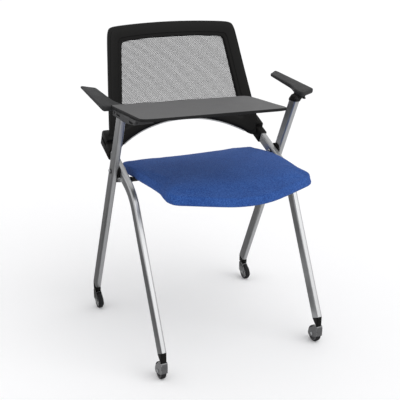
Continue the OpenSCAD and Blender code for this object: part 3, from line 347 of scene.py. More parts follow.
hard_finish("black_steel", (0.012, 0.012, 0.013), (0.1, 0.1, 0.1), 0.45, specular=0.25, bump=0.05)
hard_finish("black_plastic", (0.0045, 0.0043, 0.004), (0.035, 0.034, 0.032), 0.42, specular=0.11,
            bump=0.12, grain=1300.0, shift=0.25, radius=0.0008)
print("finishes so far:", sorted(finishes))

# %% [markdown]
# ## Cloth and net
# The seat is covered in a plain woven wool-like cloth, blue with lighter and darker yarns in it. Its
# weave follows the piece's own UV map, which is laid out in metres, so that the yarns run straight
# over the crown and down the sides. The two yarn directions are two waves; their larger value is the
# height of the cloth. Each yarn crossing takes its own tone from a white noise value.

# %% Seat cloth
def cloth_finish(name, dark, middle, light, pitch, flecks=((260.0, 0.36), (520.0, 0.40)), yarns=0.24):
    """Flecks are pairs of a noise's scale and its share of the tone; yarns is the crossings' share."""
    tree, shader = new_finish(name)
    uv = add(tree, "ShaderNodeUVMap", {"uv_map": "weave"}).outputs[0]
    place = add(tree, "ShaderNodeTexCoord").outputs["Object"]
    wander = add(tree, "ShaderNodeTexNoise", None, Vector=place, Scale=300.0).outputs[0]
    wander = math_of(tree, "MULTIPLY", wander, 0.5)
    across = add(tree, "ShaderNodeSeparateXYZ", None, Vector=uv).outputs
    waves = []
    for axis, other in (("X", "Y"), ("Y", "X")):
        run = math_of(tree, "ADD", math_of(tree, "MULTIPLY", across[axis], 1 / pitch), wander)
        ridge = math_of(tree, "ABSOLUTE", math_of(tree, "SINE", math_of(tree, "MULTIPLY", run, math.pi)))
        over = math_of(tree, "MULTIPLY", across[other], 1 / pitch)
        over = math_of(tree, "SINE", math_of(tree, "MULTIPLY", over, math.pi / 2))
        over = math_of(tree, "ADD", math_of(tree, "MULTIPLY", over, 0.25), 0.75)
        waves.append(math_of(tree, "MULTIPLY", ridge, over))
    height = math_of(tree, "MAXIMUM", *waves)
    scaled = add(tree, "ShaderNodeVectorMath", {"operation": "SCALE"}, Vector=uv, Scale=1 / pitch)
    step = add(tree, "ShaderNodeVectorMath", {"operation": "FLOOR"}, Vector=scaled.outputs[0])
    yarn = add(tree, "ShaderNodeTexWhiteNoise", {"noise_dimensions": "3D"}, Vector=step.outputs[0])
    heather = math_of(tree, "MULTIPLY", yarn.outputs["Value"], yarns)
    for scale, share in flecks:
        noise = add(tree, "ShaderNodeTexNoise", None, Vector=place, Scale=scale, Detail=2.0, Roughness=0.6)
        strong = add(tree, "ShaderNodeMapRange", None, Value=noise.outputs[0], From_Min=0.3, From_Max=0.7,
                     To_Max=share)
        heather = math_of(tree, "ADD", heather, strong.outputs["Result"])
    patches = group_node(tree, mottle_group, Vector=place, Scale=14.0, Low=-0.08, High=0.08)["Value"]
    ramp = add(tree, "ShaderNodeValToRGB", None, Fac=math_of(tree, "ADD", heather, patches))
    ends = ramp.color_ramp.elements
    ends[0].position, ends[1].position = 0.18, 0.88
    ends[0].color, ends[1].color = (*dark, 1), (*light, 1)
    ends.new(0.5).color = (*middle, 1)
    wire(tree, ramp.outputs[0], shader["Base Color"])
    nap = math_of(tree, "ADD", height, math_of(tree, "MULTIPLY", heather, 1.5))
    raise_relief(tree, shader, nap, 0.5, 0.0004)
    vary_roughness(tree, shader, height, 0.95, 0.8)
    for label, value in (("Specular IOR Level", 0.08), ("Sheen Weight", 0.06), ("Sheen Roughness", 0.5)):
        feed(tree, shader[label], value)


CLOTH_DARK, CLOTH_MIDDLE, CLOTH_LIGHT = (0.0155, 0.049, 0.196), (0.030, 0.088, 0.305), (0.052, 0.138, 0.425)
CLOTH_PITCH = 0.0011
cloth_finish("seat_cloth", CLOTH_DARK, CLOTH_MIDDLE, CLOTH_LIGHT, CLOTH_PITCH)
print("cloth pitch in mm:", CLOTH_PITCH / MM)

# %% [markdown]
# The net's yarn is dark polyester. A fine slanting wave stands for its twist. The pale yarn under
# the arch is the same with pale colours: it is a painted highlight.

# %% Net yarn
def yarn_finish(name, color, light):
    tree, shader = new_finish(name)
    place = add(tree, "ShaderNodeTexCoord").outputs["Object"]
    twist = add(tree, "ShaderNodeTexWave", {"bands_direction": "DIAGONAL"}, Vector=place, Scale=900.0,
                Distortion=2.0).outputs["Fac"]
    patches = group_node(tree, mottle_group, Vector=place, Scale=200.0, Low=0.0, High=1.0)["Value"]
    wire(tree, mixed(tree, math_of(tree, "MULTIPLY", twist, patches), color, light), shader["Base Color"])
    raise_relief(tree, shader, twist, 0.3, 0.0002)
    vary_roughness(tree, shader, patches, 0.6, 0.75)
    feed(tree, shader["Specular IOR Level"], 0.25)


yarn_finish("back_net", (0.016, 0.015, 0.014), (0.060, 0.057, 0.054))
# Pale yarn for the line under the arch: a painted highlight.
yarn_finish("hem_yarn", (0.42, 0.42, 0.41), (0.7, 0.7, 0.69))
print("finishes:", len(finishes))

# %% [markdown]
# ## CAD solids that stay
# Tubes, bolts, plugs, wheels and pins are exact solids already. They only get their finish, by the
# material slot that the record gives them. Small steel parts that the photograph shows dark are
# blackened.

# %% Dress the CAD solids
BLACKENED = ("beam_pin", "board_pin", "hinge_leaf", "board_screws", "arm_screws", "leg_bolts")
for name, solid in nodes.items():
    solid.data.materials.clear()
    solid.data.materials.append(finishes["black_steel" if name in BLACKENED else slot_of[name]])
print(len(nodes), "solids dressed")

# %% [markdown]
# ## Tools for drawn forms
# The moulded ring, the pads, the board and the cushion all follow the same rule as the CAD source:
# a closed outline, drawn in by given shares, is repeated as rings at several heights. Here the
# rings are much closer, so that the surfaces are smooth.

# %% Outlines and rings
def curve_through(a, b, c, d, steps):
    """Points on the smooth curves from each b to each c, between the neighbours a and d."""
    a, b, c, d = (q[:, None, :] for q in (a, b, c, d))
    t = (np.arange(steps) / steps)[None, :, None]
    line = 0.5 * (2 * b + t * (c - a) + t**2 * (2 * a - 5 * b + 4 * c - d) + t**3 * (3 * b - a - 3 * c + d))
    return line.reshape(-1, line.shape[2])


def smooth_loop(points, steps):
    p = np.array(points, float)
    return curve_through(np.roll(p, 1, 0), p, np.roll(p, -1, 0), np.roll(p, -2, 0), steps)


def smooth_line(points, steps):
    p = np.array(points, float)
    p = np.vstack([2 * p[0] - p[1], p, 2 * p[-1] - p[-2]])
    return np.vstack([curve_through(p[:-3], p[1:-2], p[2:-1], p[3:], steps), p[-2]])


def both_sides(half):
    return half[::-1] + [(-x, y) for x, y in half[1:-1]]


def loop_area(points):
    """Area of a flat loop, negative where the loop runs clockwise."""
    x, y = points.T
    return (x * np.roll(y, -1) - y * np.roll(x, -1)).sum() / 2


def outward(points):
    """Unit vectors that point out of a flat loop, whichever way it runs."""
    t = np.roll(points, -1, 0) - np.roll(points, 1, 0)
    t /= np.linalg.norm(t, axis=1)[:, None]
    return np.sign(loop_area(points)) * np.stack([t[:, 1], -t[:, 0]], 1)


def rounded_corners(points, radius, steps=4):
    p = np.array(points, float)
    out = []
    for k in range(len(p)):
        here = p[k]
        start, end = (here + way / np.linalg.norm(way) * min(radius, 0.45 * np.linalg.norm(way))
                      for way in (p[k - 1] - here, p[(k + 1) % len(p)] - here))
        for t in np.linspace(0, 1, steps + 1):
            out.append((1 - t) ** 2 * start + 2 * t * (1 - t) * here + t**2 * end)
    return np.array(out)


def stack_of(rings, low=None, high=None):
    """Points and faces of a shell over rings of equal count, in mm, with poles where they are given."""
    n, m = len(rings[0]), len(rings)
    points = [tuple(p) for ring in rings for p in ring]
    faces = [(i * n + j, i * n + (j + 1) % n, (i + 1) * n + (j + 1) % n, (i + 1) * n + j)
             for i in range(m - 1) for j in range(n)]
    if low is not None:
        points.append(tuple(low))
        faces += [(len(points) - 1, (j + 1) % n, j) for j in range(n)]
    if high is not None:
        points.append(tuple(high))
        faces += [(len(points) - 1, (m - 1) * n + j, (m - 1) * n + (j + 1) % n) for j in range(n)]
    return points, faces


def flat_ended(rings):
    """The same shell, closed by one flat face at each end."""
    points, faces = stack_of(rings)
    n = len(rings[0])
    faces.append(tuple(range(n))[::-1])
    faces.append(tuple(range(len(points) - n, len(points))))
    return points, faces


def joined(shells):
    points, faces = [], []
    for p, f in shells:
        faces += [tuple(i + len(points) for i in face) for face in f]
        points += p
    return points, faces


def make_mesh(name, shell, crease=40):
    """A new object from points in mm, its normals outwards and its edges sharp past an angle."""
    points, faces = shell
    mesh = mesh_of(name, [(x * MM, y * MM, z * MM) for x, y, z in points], faces=faces)
    work = bmesh.new()
    work.from_mesh(mesh)
    bmesh.ops.remove_doubles(work, verts=work.verts, dist=1e-7)
    bmesh.ops.recalc_face_normals(work, faces=work.faces)
    work.to_mesh(mesh)
    work.free()
    mesh.shade_smooth()
    mesh.set_sharp_from_angle(angle=math.radians(crease))
    return placed(name, mesh)


def settle(piece, body, slot, *replaced):
    """Gives a piece its finish and says on which body it rides and what it stands for."""
    if not piece.data.materials:
        piece.data.materials.append(finishes[slot])
    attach(piece, body)
    print(piece.name, "rides on", body, "with faces:", len(piece.data.polygons))
    if replaced:
        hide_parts(*replaced)
        low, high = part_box(replaced[0])
        co = np.array([v.co for v in piece.data.vertices])
        print("  off its solid by mm", np.round((co.min(0) - np.array(low)) / MM, 1),
              np.round((co.max(0) - np.array(high)) / MM, 1))
    return piece


print("tools for forms ready")

# %% [markdown]
# ## The back ring
# One moulded ring holds the net. It is bowed backwards in the middle, leans back, and its lower
# member arches up. The outline of the ring and of its opening come as shares of the real sizes, and
# at each place the section is a flat band with rounded edges. Two sockets below take the tube ends.

# %% The back's surface and outlines
BACK_TOP, BACK_LOW, BACK_T = 830.5, 508.5, 17.0
BACK_TOP_W, BACK_W, BACK_H = 378.0, 464.0, 322.0
FOOT_Y, FOOT_Z, BACK_LEAN = 135.95, 536.5, math.radians(18.7)
BOW, LOW_BOW = 22.0, 32.0
RING_W, TOP_MEMBER, LOW_MEMBER, ARCH = 41.0, 40.0, 38.0, 0.815


def back_y(x, z):
    u = 2 * np.abs(x) / BACK_W
    up = np.clip((z - BACK_LOW) / BACK_H, 0, 1)
    return (FOOT_Y + (z - FOOT_Z) * math.tan(BACK_LEAN) + up * BOW * (1 - u**2)
            + (1 - up) * LOW_BOW * (1 - u**4))


def half_width(fall):
    return (BACK_TOP_W + (BACK_W - BACK_TOP_W) * fall) / 2


top, low = TOP_MEMBER / BACK_H, ARCH - LOW_MEMBER / BACK_H
outer_shares = [
    (0, 0), (0.28, 0.002), (0.56, 0.007), (0.84, 0.016), (0.95, 0.028), (0.986, 0.055), (1, 0.12),
    (1, 0.33), (1, 0.5), (1, 0.68), (1, 0.84), (0.985, 0.935), (0.93, 0.993), (0.86, 0.99),
    (0.79, 0.955), (0.68, 0.915), (0.54, 0.875), (0.36, 0.84), (0.18, 0.82), (0, ARCH)]
opening_shares = [
    (0, top), (0.28, top + 0.002), (0.56, top + 0.006), (0.84, top + 0.014), (0.955, top + 0.022),
    (0.99, top + 0.038), (1, top + 0.075), (1, 0.34), (1, 0.46), (1, 0.57), (1, 0.66),
    (0.993, low + 0.04), (0.96, low + 0.078), (0.9, low + 0.085), (0.82, low + 0.074),
    (0.7, low + 0.055), (0.54, low + 0.03), (0.36, low + 0.011), (0.18, low + 0.002), (0, low)]
outer_loop, inner_loop = (
    smooth_loop(both_sides([(s * (half_width(f) - inset), BACK_TOP - f * BACK_H) for s, f in shares]), 8)
    for shares, inset in ((outer_shares, 0), (opening_shares, RING_W)))
print("points round the ring:", len(outer_loop))

# %% Ring and sockets
band = [(-1, 0.55), (-0.985, 0.72), (-0.93, 0.88), (-0.83, 0.97), (-0.66, 1), (0.2, 1), (0.62, 0.97),
        (0.8, 0.9), (0.93, 0.74), (1, 0.45), (1, 0), (1, -0.3), (0.965, -0.5), (0.88, -0.62),
        (0.76, -0.7), (0.7, -0.74), (0.66, -0.92), (0.58, -0.98), (0.2, -1), (-0.3, -1), (-0.42, -0.97),
        (-0.47, -0.82), (-0.56, -0.78), (-0.83, -0.76), (-0.93, -0.7), (-0.985, -0.6), (-1, -0.5)]
GROOVE, GROOVE_HALF_W = 7.0, 3.0
lip = GROOVE_HALF_W / BACK_T
sections = []
for o, i in zip(outer_loop, inner_loop):
    half = (o - i) / 2
    deep = 1 - GROOVE / np.linalg.norm(half)
    shares = band + [(-1, -lip), (-deep, -lip), (-deep, lip), (-1, lip)]
    flat_points = np.array([(o + i) / 2 + s * half for s, _ in shares])
    depth = np.array([d for _, d in shares])
    y = back_y(flat_points[:, 0], flat_points[:, 1]) + depth * BACK_T / 2
    sections.append(np.column_stack([flat_points[:, 0], y, flat_points[:, 1]]))
sections.append(sections[0])
ring_shell = stack_of(sections)

BEND_Y, BEND_Z, RUN_LEAN = -34.3995, 435.7, math.radians(65.3)
SEAT_LEG_X, RUN_LEN = 228.0, 232.0


def on_upper_run(side, points):
    p = np.array(points, float)
    c, s = math.cos(RUN_LEAN), math.sin(RUN_LEAN)
    return np.column_stack([side * SEAT_LEG_X + p[:, 0], BEND_Y + c * p[:, 1] + s * p[:, 2],
                            BEND_Z - s * p[:, 1] + c * p[:, 2]])


def oval(w, d, r, at=0.0, middle=(0.0, 0.0)):
    line = []
    for k, (sx, sy) in enumerate(((1, 1), (-1, 1), (-1, -1), (1, -1))):
        for a in np.linspace(0, 90, 7):
            turn = math.radians(a + 90 * k)
            line.append((middle[0] + sx * (w / 2 - r) + r * math.cos(turn),
                         middle[1] + sy * (d / 2 - r) + r * math.sin(turn), at))
    return line


def socket_shell(side, w, d, z0, z1, y=0.0, bore=None):
    """A block with soft ends on the tube's upper run, with a blind bore for the tube if one is given."""
    soft, r = [(1.6, 0.0), (0.7, 0.35), (0.0, 1.6)], SOCKET_R
    rings = []
    low = (0, y, z0)
    if bore:
        low = (0, 0, bore[3])
        rings += [oval(*bore), oval(*bore[:3], z0)]
    rings += [oval(w - 2 * i, d - 2 * i, max(r - i, 0.5), z0 + u, (0, y)) for i, u in soft]
    rings += [oval(w - 2 * i, d - 2 * i, max(r - i, 0.5), z1 - u, (0, y)) for i, u in soft[::-1]]
    points, faces = stack_of(rings, low, (0, y, z1))
    return [tuple(p) for p in on_upper_run(side, points)], faces


SOCKET_W, SOCKET_D, SOCKET_R, SOCKET_LEN, SOCKET_END = 23, 37, 6.25, 71, 3.5
HEEL_D, HEEL_LEN, HEEL_AHEAD = 30, 42, 14
START = RUN_LEN - SOCKET_LEN + SOCKET_END
TUBE_BORE = (16.3, 30.3, 4.5, START + SOCKET_LEN - SOCKET_END)
shells = [ring_shell]
for side in (-1, 1):
    shells.append(socket_shell(side, SOCKET_W, SOCKET_D, START, START + SOCKET_LEN, bore=TUBE_BORE))
    shells.append(socket_shell(side, SOCKET_W, HEEL_D, RUN_LEN + SOCKET_END - HEEL_LEN, RUN_LEN + SOCKET_END,
                               y=-HEEL_AHEAD))
back_ring = make_mesh("back_ring", joined(shells), 38)
settle(back_ring, "frame", "black_plastic", "back_frame")

# %% [markdown]
# ## The net
# The net is dark yarn woven wide open. Python lays the straight course of each thread over the
# bowed surface of the back, cut off just inside the groove of the ring. A Geometry Nodes tree then
# makes them yarn: it waves each thread over and under its neighbours and gives it a section with a
# few sides, because thousands of crossings have to stay light. The tree has named inputs for the
# yarn and the wave, so another net is a matter of a few numbers.

# %% Courses of the threads
UPRIGHT_PITCH, LEVEL_PITCH, EDGE_IN_GROOVE = 2.8, 2.9, 2.5


def crossings(loop, value, axis):
    """Where the loop crosses the line on which one coordinate has a value, in order."""
    a, b = loop, np.roll(loop, -1, 0)
    hit = (a[:, axis] - value) * (b[:, axis] - value) < 0
    t = (value - a[hit, axis]) / (b[hit, axis] - a[hit, axis])
    return np.sort(a[hit, 1 - axis] + t * (b[hit, 1 - axis] - a[hit, 1 - axis]))


net_edge = inner_loop + EDGE_IN_GROOVE * outward(inner_loop)
courses = []
for axis, pitch, step in ((0, UPRIGHT_PITCH, 10.0), (1, LEVEL_PITCH, 1.2)):
    low_value, high_value = net_edge[:, axis].min(), net_edge[:, axis].max()
    for number, value in enumerate(np.arange(low_value + pitch / 2, high_value, pitch)):
        ends = crossings(net_edge, value, axis)
        for start, end in zip(ends[::2], ends[1::2]):
            count = max(2, int((end - start) / step) + 1)
            run = np.linspace(start, end, count)
            x, z = (np.full(count, value), run) if axis == 0 else (run, np.full(count, value))
            courses.append((axis, number % 2, np.column_stack([x, back_y(x, z), z])))
print("threads:", len(courses))


def course_mesh(name, chosen):
    points, edges, turn = [], [], []
    for _, odd, line in chosen:
        edges += [(len(points) + k, len(points) + k + 1) for k in range(len(line) - 1)]
        points += list(line * MM)
        turn += [float(odd)] * len(line)
    mesh = mesh_of(name, points, edges)
    mesh.attributes.new("turn", "FLOAT", "POINT").data.foreach_set("value", turn)
    return placed(name, mesh)


# %% Geometry Nodes: yarn along a course
def geometry_tree(name, inputs):
    shape = ("Geometry", "Geometry")
    return new_group(name, [(*shape, None)] + inputs, [shape], "GeometryNodeTree")


yarn_tree, into, outof = geometry_tree("yarn along courses", [
    ("Yarn radius", "Float", 0.00052), ("Wave height", "Float", 0.0005), ("Wave length", "Float", 0.006),
    ("Sides", "Int", 4), ("Yarn finish", "Material", None)])
spot = add(yarn_tree, "GeometryNodeInputPosition").outputs[0]
apart = add(yarn_tree, "ShaderNodeSeparateXYZ", None, Vector=spot)
turn = add(yarn_tree, "GeometryNodeInputNamedAttribute", {"data_type": "FLOAT"}, Name="turn")
phase = math_of(yarn_tree, "DIVIDE", apart.outputs["X"], into["Wave length"])
phase = math_of(yarn_tree, "ADD", phase, math_of(yarn_tree, "MULTIPLY", turn.outputs["Attribute"], 0.5))
wave = math_of(yarn_tree, "SINE", math_of(yarn_tree, "MULTIPLY", phase, 2 * math.pi))
lift = math_of(yarn_tree, "MULTIPLY", wave, into["Wave height"])
offset = add(yarn_tree, "ShaderNodeCombineXYZ", None, Y=lift, Z=math_of(yarn_tree, "MULTIPLY", lift, 0.5))
moved = add(yarn_tree, "GeometryNodeSetPosition", None, Geometry=into["Geometry"], Offset=offset.outputs[0])
line = add(yarn_tree, "GeometryNodeMeshToCurve", None, Mesh=moved.outputs[0])
section = add(yarn_tree, "GeometryNodeCurvePrimitiveCircle", {"mode": "RADIUS"}, Resolution=into["Sides"],
              Radius=into["Yarn radius"])
tube = add(yarn_tree, "GeometryNodeCurveToMesh", None, Curve=line.outputs[0],
           Profile_Curve=section.outputs[0], Fill_Caps=True)
whole = add(yarn_tree, "GeometryNodeRealizeInstances", None, Geometry=tube.outputs[0])
done = add(yarn_tree, "GeometryNodeSetMaterial", None, Geometry=whole.outputs[0],
           Material=into["Yarn finish"])
wire(yarn_tree, done.outputs[0], outof["Geometry"])


def grown(source, tree, name, **values):
    """Runs a Geometry Nodes tree on an object and keeps the result as a plain mesh piece."""
    modifier = source.modifiers.new("grow", "NODES")
    modifier.node_group = tree
    for item in tree.interface.items_tree:
        if item.in_out == "INPUT" and item.name.replace(" ", "_") in values:
            modifier[item.identifier] = values[item.name.replace(" ", "_")]
    bpy.context.view_layer.update()
    mesh = evaluated(source)
    bpy.data.objects.remove(source)
    mesh.name = name
    mesh.shade_smooth()
    return placed(name, mesh)


upright, level_yarn = (
    grown(course_mesh(name + "_courses", [c for c in courses if c[0] == axis]), yarn_tree, name,
          Yarn_radius=radius, Wave_height=height, Wave_length=2 * UPRIGHT_PITCH * MM, Sides=4,
          Yarn_finish=finishes["back_net"])
    for name, axis, radius, height in (("net_uprights", 0, 0.00045, 0.0), ("net_levels", 1, 0.00072, 0.0005)))


def merged(name, pieces):
    """One object from several, which share their finish."""
    work = bmesh.new()
    for piece in pieces:
        work.from_mesh(piece.data)
    mesh = bpy.data.meshes.new(name)
    work.to_mesh(mesh)
    work.free()
    mesh.materials.append(pieces[0].data.materials[0])
    for piece in pieces:
        bpy.data.objects.remove(piece)
    mesh.shade_smooth()
    return placed(name, mesh)


net = settle(merged("back_net", [upright, level_yarn]), "frame", "back_net", "back_mesh")

# %% [markdown]
# A thin pale line runs along the arch under the net's lower member: a painted highlight on the
# arch's lower edge.
# It is the same yarn tree with other values: no wave, and a thicker, lighter section.

# %% Painted highlight along the arch
# A pale line just under the arch's lower edge: a painted highlight on that edge.
HIGHLIGHT_HALF_W, HIGHLIGHT_BELOW, HIGHLIGHT_AHEAD = 184.5, 1.0, 3.0
under_arch = (outer_loop[:, 1] < BACK_TOP - 0.8 * BACK_H) & (np.abs(outer_loop[:, 0]) < HIGHLIGHT_HALF_W)
arch = outer_loop[under_arch]
arch = arch[np.argsort(arch[:, 0])] - np.array([0, HIGHLIGHT_BELOW])
arch_y = back_y(arch[:, 0], arch[:, 1]) - HIGHLIGHT_AHEAD
edge = grown(course_mesh("arch_course", [(1, 0, np.column_stack([arch[:, 0], arch_y, arch[:, 1]]))]),
             yarn_tree, "arch_edge", Yarn_radius=0.0016, Wave_height=0.0, Sides=8,
             Yarn_finish=finishes["hem_yarn"])
settle(edge, "frame", "back_net")

# %% [markdown]
# ## Arm pads
# Each pad is a moulded bar, wide over its bracket at the front and thin at its rear end. Rings of
# the drawn outline give it its rounded upper edge and its undercut, and its corners are rounded.

# %% Pads
ARM_TOP_Y, PAD_LEN, PAD_AHEAD = -22.3988, 219, 33
PAD_REAR_Y = ARM_TOP_Y + PAD_LEN - PAD_AHEAD
PAD_W, PAD_FRONT_W, PAD_T, PAD_Z, PAD_RISE = 41.0, 54.0, 14.5, 668.5, math.radians(5.4)
PAD_OUTER_X, PAD_NECK, PAD_CORNER, PAD_DRAW_IN = 296.5, 20, 7.0, 6.0
BOARD_REAR = -35.25


def pad_outline(front, cut):
    w, v, f, r, skew = PAD_W, PAD_W - 5, PAD_FRONT_W, 8.0, 23.0
    rear, neck = PAD_REAR_Y, ARM_TOP_Y + PAD_NECK
    return [
        (0, front + r), (0, rear - 0.8 * r), (-0.3 * r, rear - 0.15 * r), (-0.9 * r, rear),
        (-v + 1.5 * r, rear - 0.72 * skew), (-v + 0.4 * r, rear - skew), (-v, rear - skew - 0.9 * r),
        (-w, neck + 2 * r), (-w - (f - w) * 0.35, neck), (-f, neck - 3 * r), (-f, front - cut + r),
        (-f + 0.3 * r, front - cut + 0.2 * r), (-f + r, front - cut), (-0.7 * r, front),
        (-0.15 * r, front + 0.4 * r)]


def pad_depth(y, thin):
    thinner_from = ARM_TOP_Y + PAD_NECK + 2
    s = np.clip((y - thinner_from) / (PAD_REAR_Y - thinner_from), 0, 1)
    return PAD_T - (PAD_T - thin) * (1 - (1 - s) ** 2.2)


def place_pad(side, points):
    p = np.array(points, float)
    y, z = p[:, 1] - ARM_TOP_Y, p[:, 2] - PAD_T
    c, s = math.cos(PAD_RISE), math.sin(PAD_RISE)
    return np.column_stack([side * p[:, 0], ARM_TOP_Y + y * c - z * s, PAD_Z + y * s + z * c])


def arm_pad(side, front, cut, thin):
    loop = rounded_corners([(PAD_OUTER_X + x, y) for x, y in pad_outline(front, cut)], PAD_CORNER)
    profile = smooth_line([(0.9, 0), (0.35, 0.12), (0.06, 0.32), (0, 0.62), (0.04, 0.8), (0.2, 0.95),
                           (0.45, 1.0)], 3)
    rings = []
    for draw_in, up in profile:
        p = loop - PAD_DRAW_IN * draw_in * outward(loop)
        rings.append(np.column_stack([p, PAD_T - pad_depth(p[:, 1], thin) * (1 - up)]))
    middle = (PAD_OUTER_X - PAD_FRONT_W / 2, ARM_TOP_Y)
    points, faces = stack_of(rings, (*middle, 0.0), (*middle, PAD_T))
    name = "arm_pad_" + ("right" if side < 0 else "left")
    piece = make_mesh(name + "_moulded", ([tuple(p) for p in place_pad(side, points)], faces), 50)
    return settle(piece, "frame", "pad_plastic", name)


arm_pad(-1, front=BOARD_REAR + 6.5, cut=0, thin=5.5)
arm_pad(1, front=ARM_TOP_Y - 18, cut=22, thin=9.0)

# %% [markdown]
# The left pad sits on a moulded cap that grips the end of its tube and ends in a short flange under
# the pad. Its rings are rounded oblongs: the lowest ones are level, the upper ones take on more and
# more of the pad's slope.

# %% Cap under the left pad
ARM_LEG_X, ARM_LEAN, ARM_TOP_Z = 247.5, math.radians(25.95), 640.5
CAP_OUTWARD, CAP_RISES_OVER = 0.4, 13
rings = []
for up, half_x, half_y, radius, ahead in (
        (-6, 8.6, 17.4, 5, 0), (-5.4, 9.4, 18.2, 5.5, 0), (0, 9.8, 18.8, 5.5, 0.5), (6, 9.8, 18.6, 5.5, 1),
        (10.2, 9.6, 18.4, 5.5, 1.5), (10.8, 8.6, 20, 5.5, 7.8), (14.5, 8.6, 20, 5.5, 6.1)):
    middle = (ARM_LEG_X + CAP_OUTWARD * max(0, up), ARM_TOP_Y - up * math.tan(ARM_LEAN) - ahead)
    ring = np.array(oval(2 * half_x, 2 * half_y, radius, 0.0, middle))[:, :2]
    tilt = max(0, up / CAP_RISES_OVER) * math.tan(PAD_RISE)
    rings.append(np.column_stack([ring, ARM_TOP_Z + up + (ring[:, 1] - ARM_TOP_Y) * tilt]))
settle(make_mesh("arm_cap_left", flat_ended(rings), 50), "frame", "black_plastic", "arm_bracket_left")

# %% [markdown]
# ## Caster forks
# A fork is pressed from one sheet: two cheeks hold the axle, and a bent web joins them over and in
# front of the wheel. The lower part of the tyre stays open to view. Each outline is drawn in shares
# of the wheel's radius from the wheel's middle, away from the stem and up, then given its thickness.

# %% Forks
WHEEL_R, FORK_IN, FORK_OUT, WEB_IN = 22.5, 7.2, 8.7, 0.1
FRONT_WHEEL_Y, REAR_WHEEL_Y = -203.35, 240.55
cheek_shares = [
    (-1.09, 1.2), (-1.0, 1.36), (-0.5, 1.37), (-0.22, 1.16), (0.2, 0.78), (0.62, 0.44), (0.86, 0.06),
    (0.86, -0.3), (0.66, -0.5), (0.4, -0.5), (-0.2, -0.34), (-0.8, -0.12), (-1.06, 0.06), (-1.09, 0.5)]
web_shares = [
    (-1.09, 0.06), (-1.09, 1.1), (-1.06, 1.27), (-0.96, 1.36), (-0.7, 1.375), (-0.36, 1.3), (-0.1, 1.14),
    (-0.14, 1.07), (-0.4, 1.2), (-0.7, 1.28), (-0.92, 1.26), (-1.0, 1.15), (-1.02, 1.0), (-1.03, 0.06)]


def plate(shares, x0, x1, middle, away, soft=0.3):
    line = rounded_corners(np.array(shares) * WHEEL_R, 2.0, 3)
    rings = []
    for x, inset in ((x0, soft), (x0 + soft, 0), (x1 - soft, 0), (x1, soft)):
        p = line - inset * outward(line)
        rings.append(np.column_stack([np.full(len(p), middle[0] + x), middle[1] + away * p[:, 0],
                                      WHEEL_R + p[:, 1]]))
    return flat_ended(rings)


for end, x, y, away in (("front", SEAT_LEG_X, FRONT_WHEEL_Y, 1), ("rear", ARM_LEG_X, REAR_WHEEL_Y, -1)):
    for hand, side in (("right", -1), ("left", 1)):
        middle = (side * x, y)
        fork = make_mesh(f"fork_{end}_{hand}", joined([
            plate(cheek_shares, FORK_IN, FORK_OUT, middle, away),
            plate(cheek_shares, -FORK_OUT, -FORK_IN, middle, away),
            plate(web_shares, -FORK_OUT + WEB_IN, FORK_OUT - WEB_IN, middle, away)]), 35)
        settle(fork, f"swivel_{end}_{hand}", "fork_metal", f"caster_fork_{end}_{hand}")

# %% [markdown]
# ## Writing tablet
# The board is a flat moulded plate. Its top is a mid grey writing face with a fine grain; its rim and
# underside are black. A rounded rim makes the bright line that the photograph shows along its edge.

# %% Board
BOARD_X, BOARD_W, BOARD_D, BOARD_TOP, BOARD_T = -279.0, 368.0, 186.0, 671.5, 7.0
board_shares = [
    (0.028, -0.005), (0.3, -0.055), (0.6, -0.11), (0.86, -0.157), (0.935, -0.185), (0.965, -0.25),
    (0.982, -0.45), (0.998, -0.8), (1.012, -1.05), (0.985, -1.105), (0.9, -1.105), (0.6, -1.062),
    (0.3, -1.02), (0.12, -0.992), (0.045, -0.955), (0.026, -0.86), (0.015, -0.5), (0.002, -0.12),
    (0.005, -0.035)]
loop = smooth_loop([(BOARD_X + x * BOARD_W, BOARD_REAR + y * BOARD_D) for x, y in board_shares], 10)
side_way = outward(loop)
rim = [(1.2, 0.0), (0.35, 0.3), (0.0, 1.2), (0.0, 5.7), (0.3, 6.6), (0.9, 7.0)]
rings = [np.column_stack([loop - i * side_way, np.full(len(loop), BOARD_TOP - BOARD_T + u)]) for i, u in rim]
board = make_mesh("writing_board", flat_ended(rings), 30)
board.data.materials.append(finishes["board_edge"])
board.data.materials.append(finishes["board_plastic"])
for face in board.data.polygons:
    if face.center.z > (BOARD_TOP - 0.1) * MM:
        face.material_index = 1
settle(board, "tablet", "board_plastic", "tablet_board")

# %% [markdown]
# ## The seat cushion
# The cushion is foam on a hidden pan, covered in cloth that is pulled round the rim. It has a low
# crown, a soft round edge and a shallow dish between the sitter's legs. First comes the same form
# as the CAD solid in close rings. A copy of it is remeshed into even faces and blown up a little as
# cloth with Blender's Cloth modifier. Each point of the drawn form then takes over the movement of
# the cloth near it, up to a limit, but none of it on the underside, where the pan holds the cloth.

# %% Form of the cushion
SEAT_W, SEAT_D, SEAT_Y, SEAT_EDGE, CUSHION_T, CREST_AHEAD = 413.0, 424.0, -56.25, 490.5, 27.0, 20
CREST_Y = SEAT_Y - CREST_AHEAD
REAR_Y, FRONT_Y = SEAT_Y + SEAT_D / 2, SEAT_Y - SEAT_D / 2
CROWN, DISH, OVER_PAN, RIM_IN = 5.0, 3.0, 12.0, 16.2
REAR_FALL, FRONT_FALL = 17, 18
seat_half = [
    (0, 1), (0.5, 1), (0.86, 0.98), (0.965, 0.9), (0.99, 0.72), (1, 0.4), (0.995, 0.1), (0.97, -0.2),
    (0.957, -0.38), (0.972, -0.54), (0.965, -0.64), (0.9, -0.73), (0.74, -0.8), (0.48, -0.9),
    (0.24, -0.975), (0, -1)]
seat_loop = smooth_loop(both_sides([(x * SEAT_W / 2, y * SEAT_D / 2) for x, y in seat_half]), 10)
seat_way = outward(seat_loop)


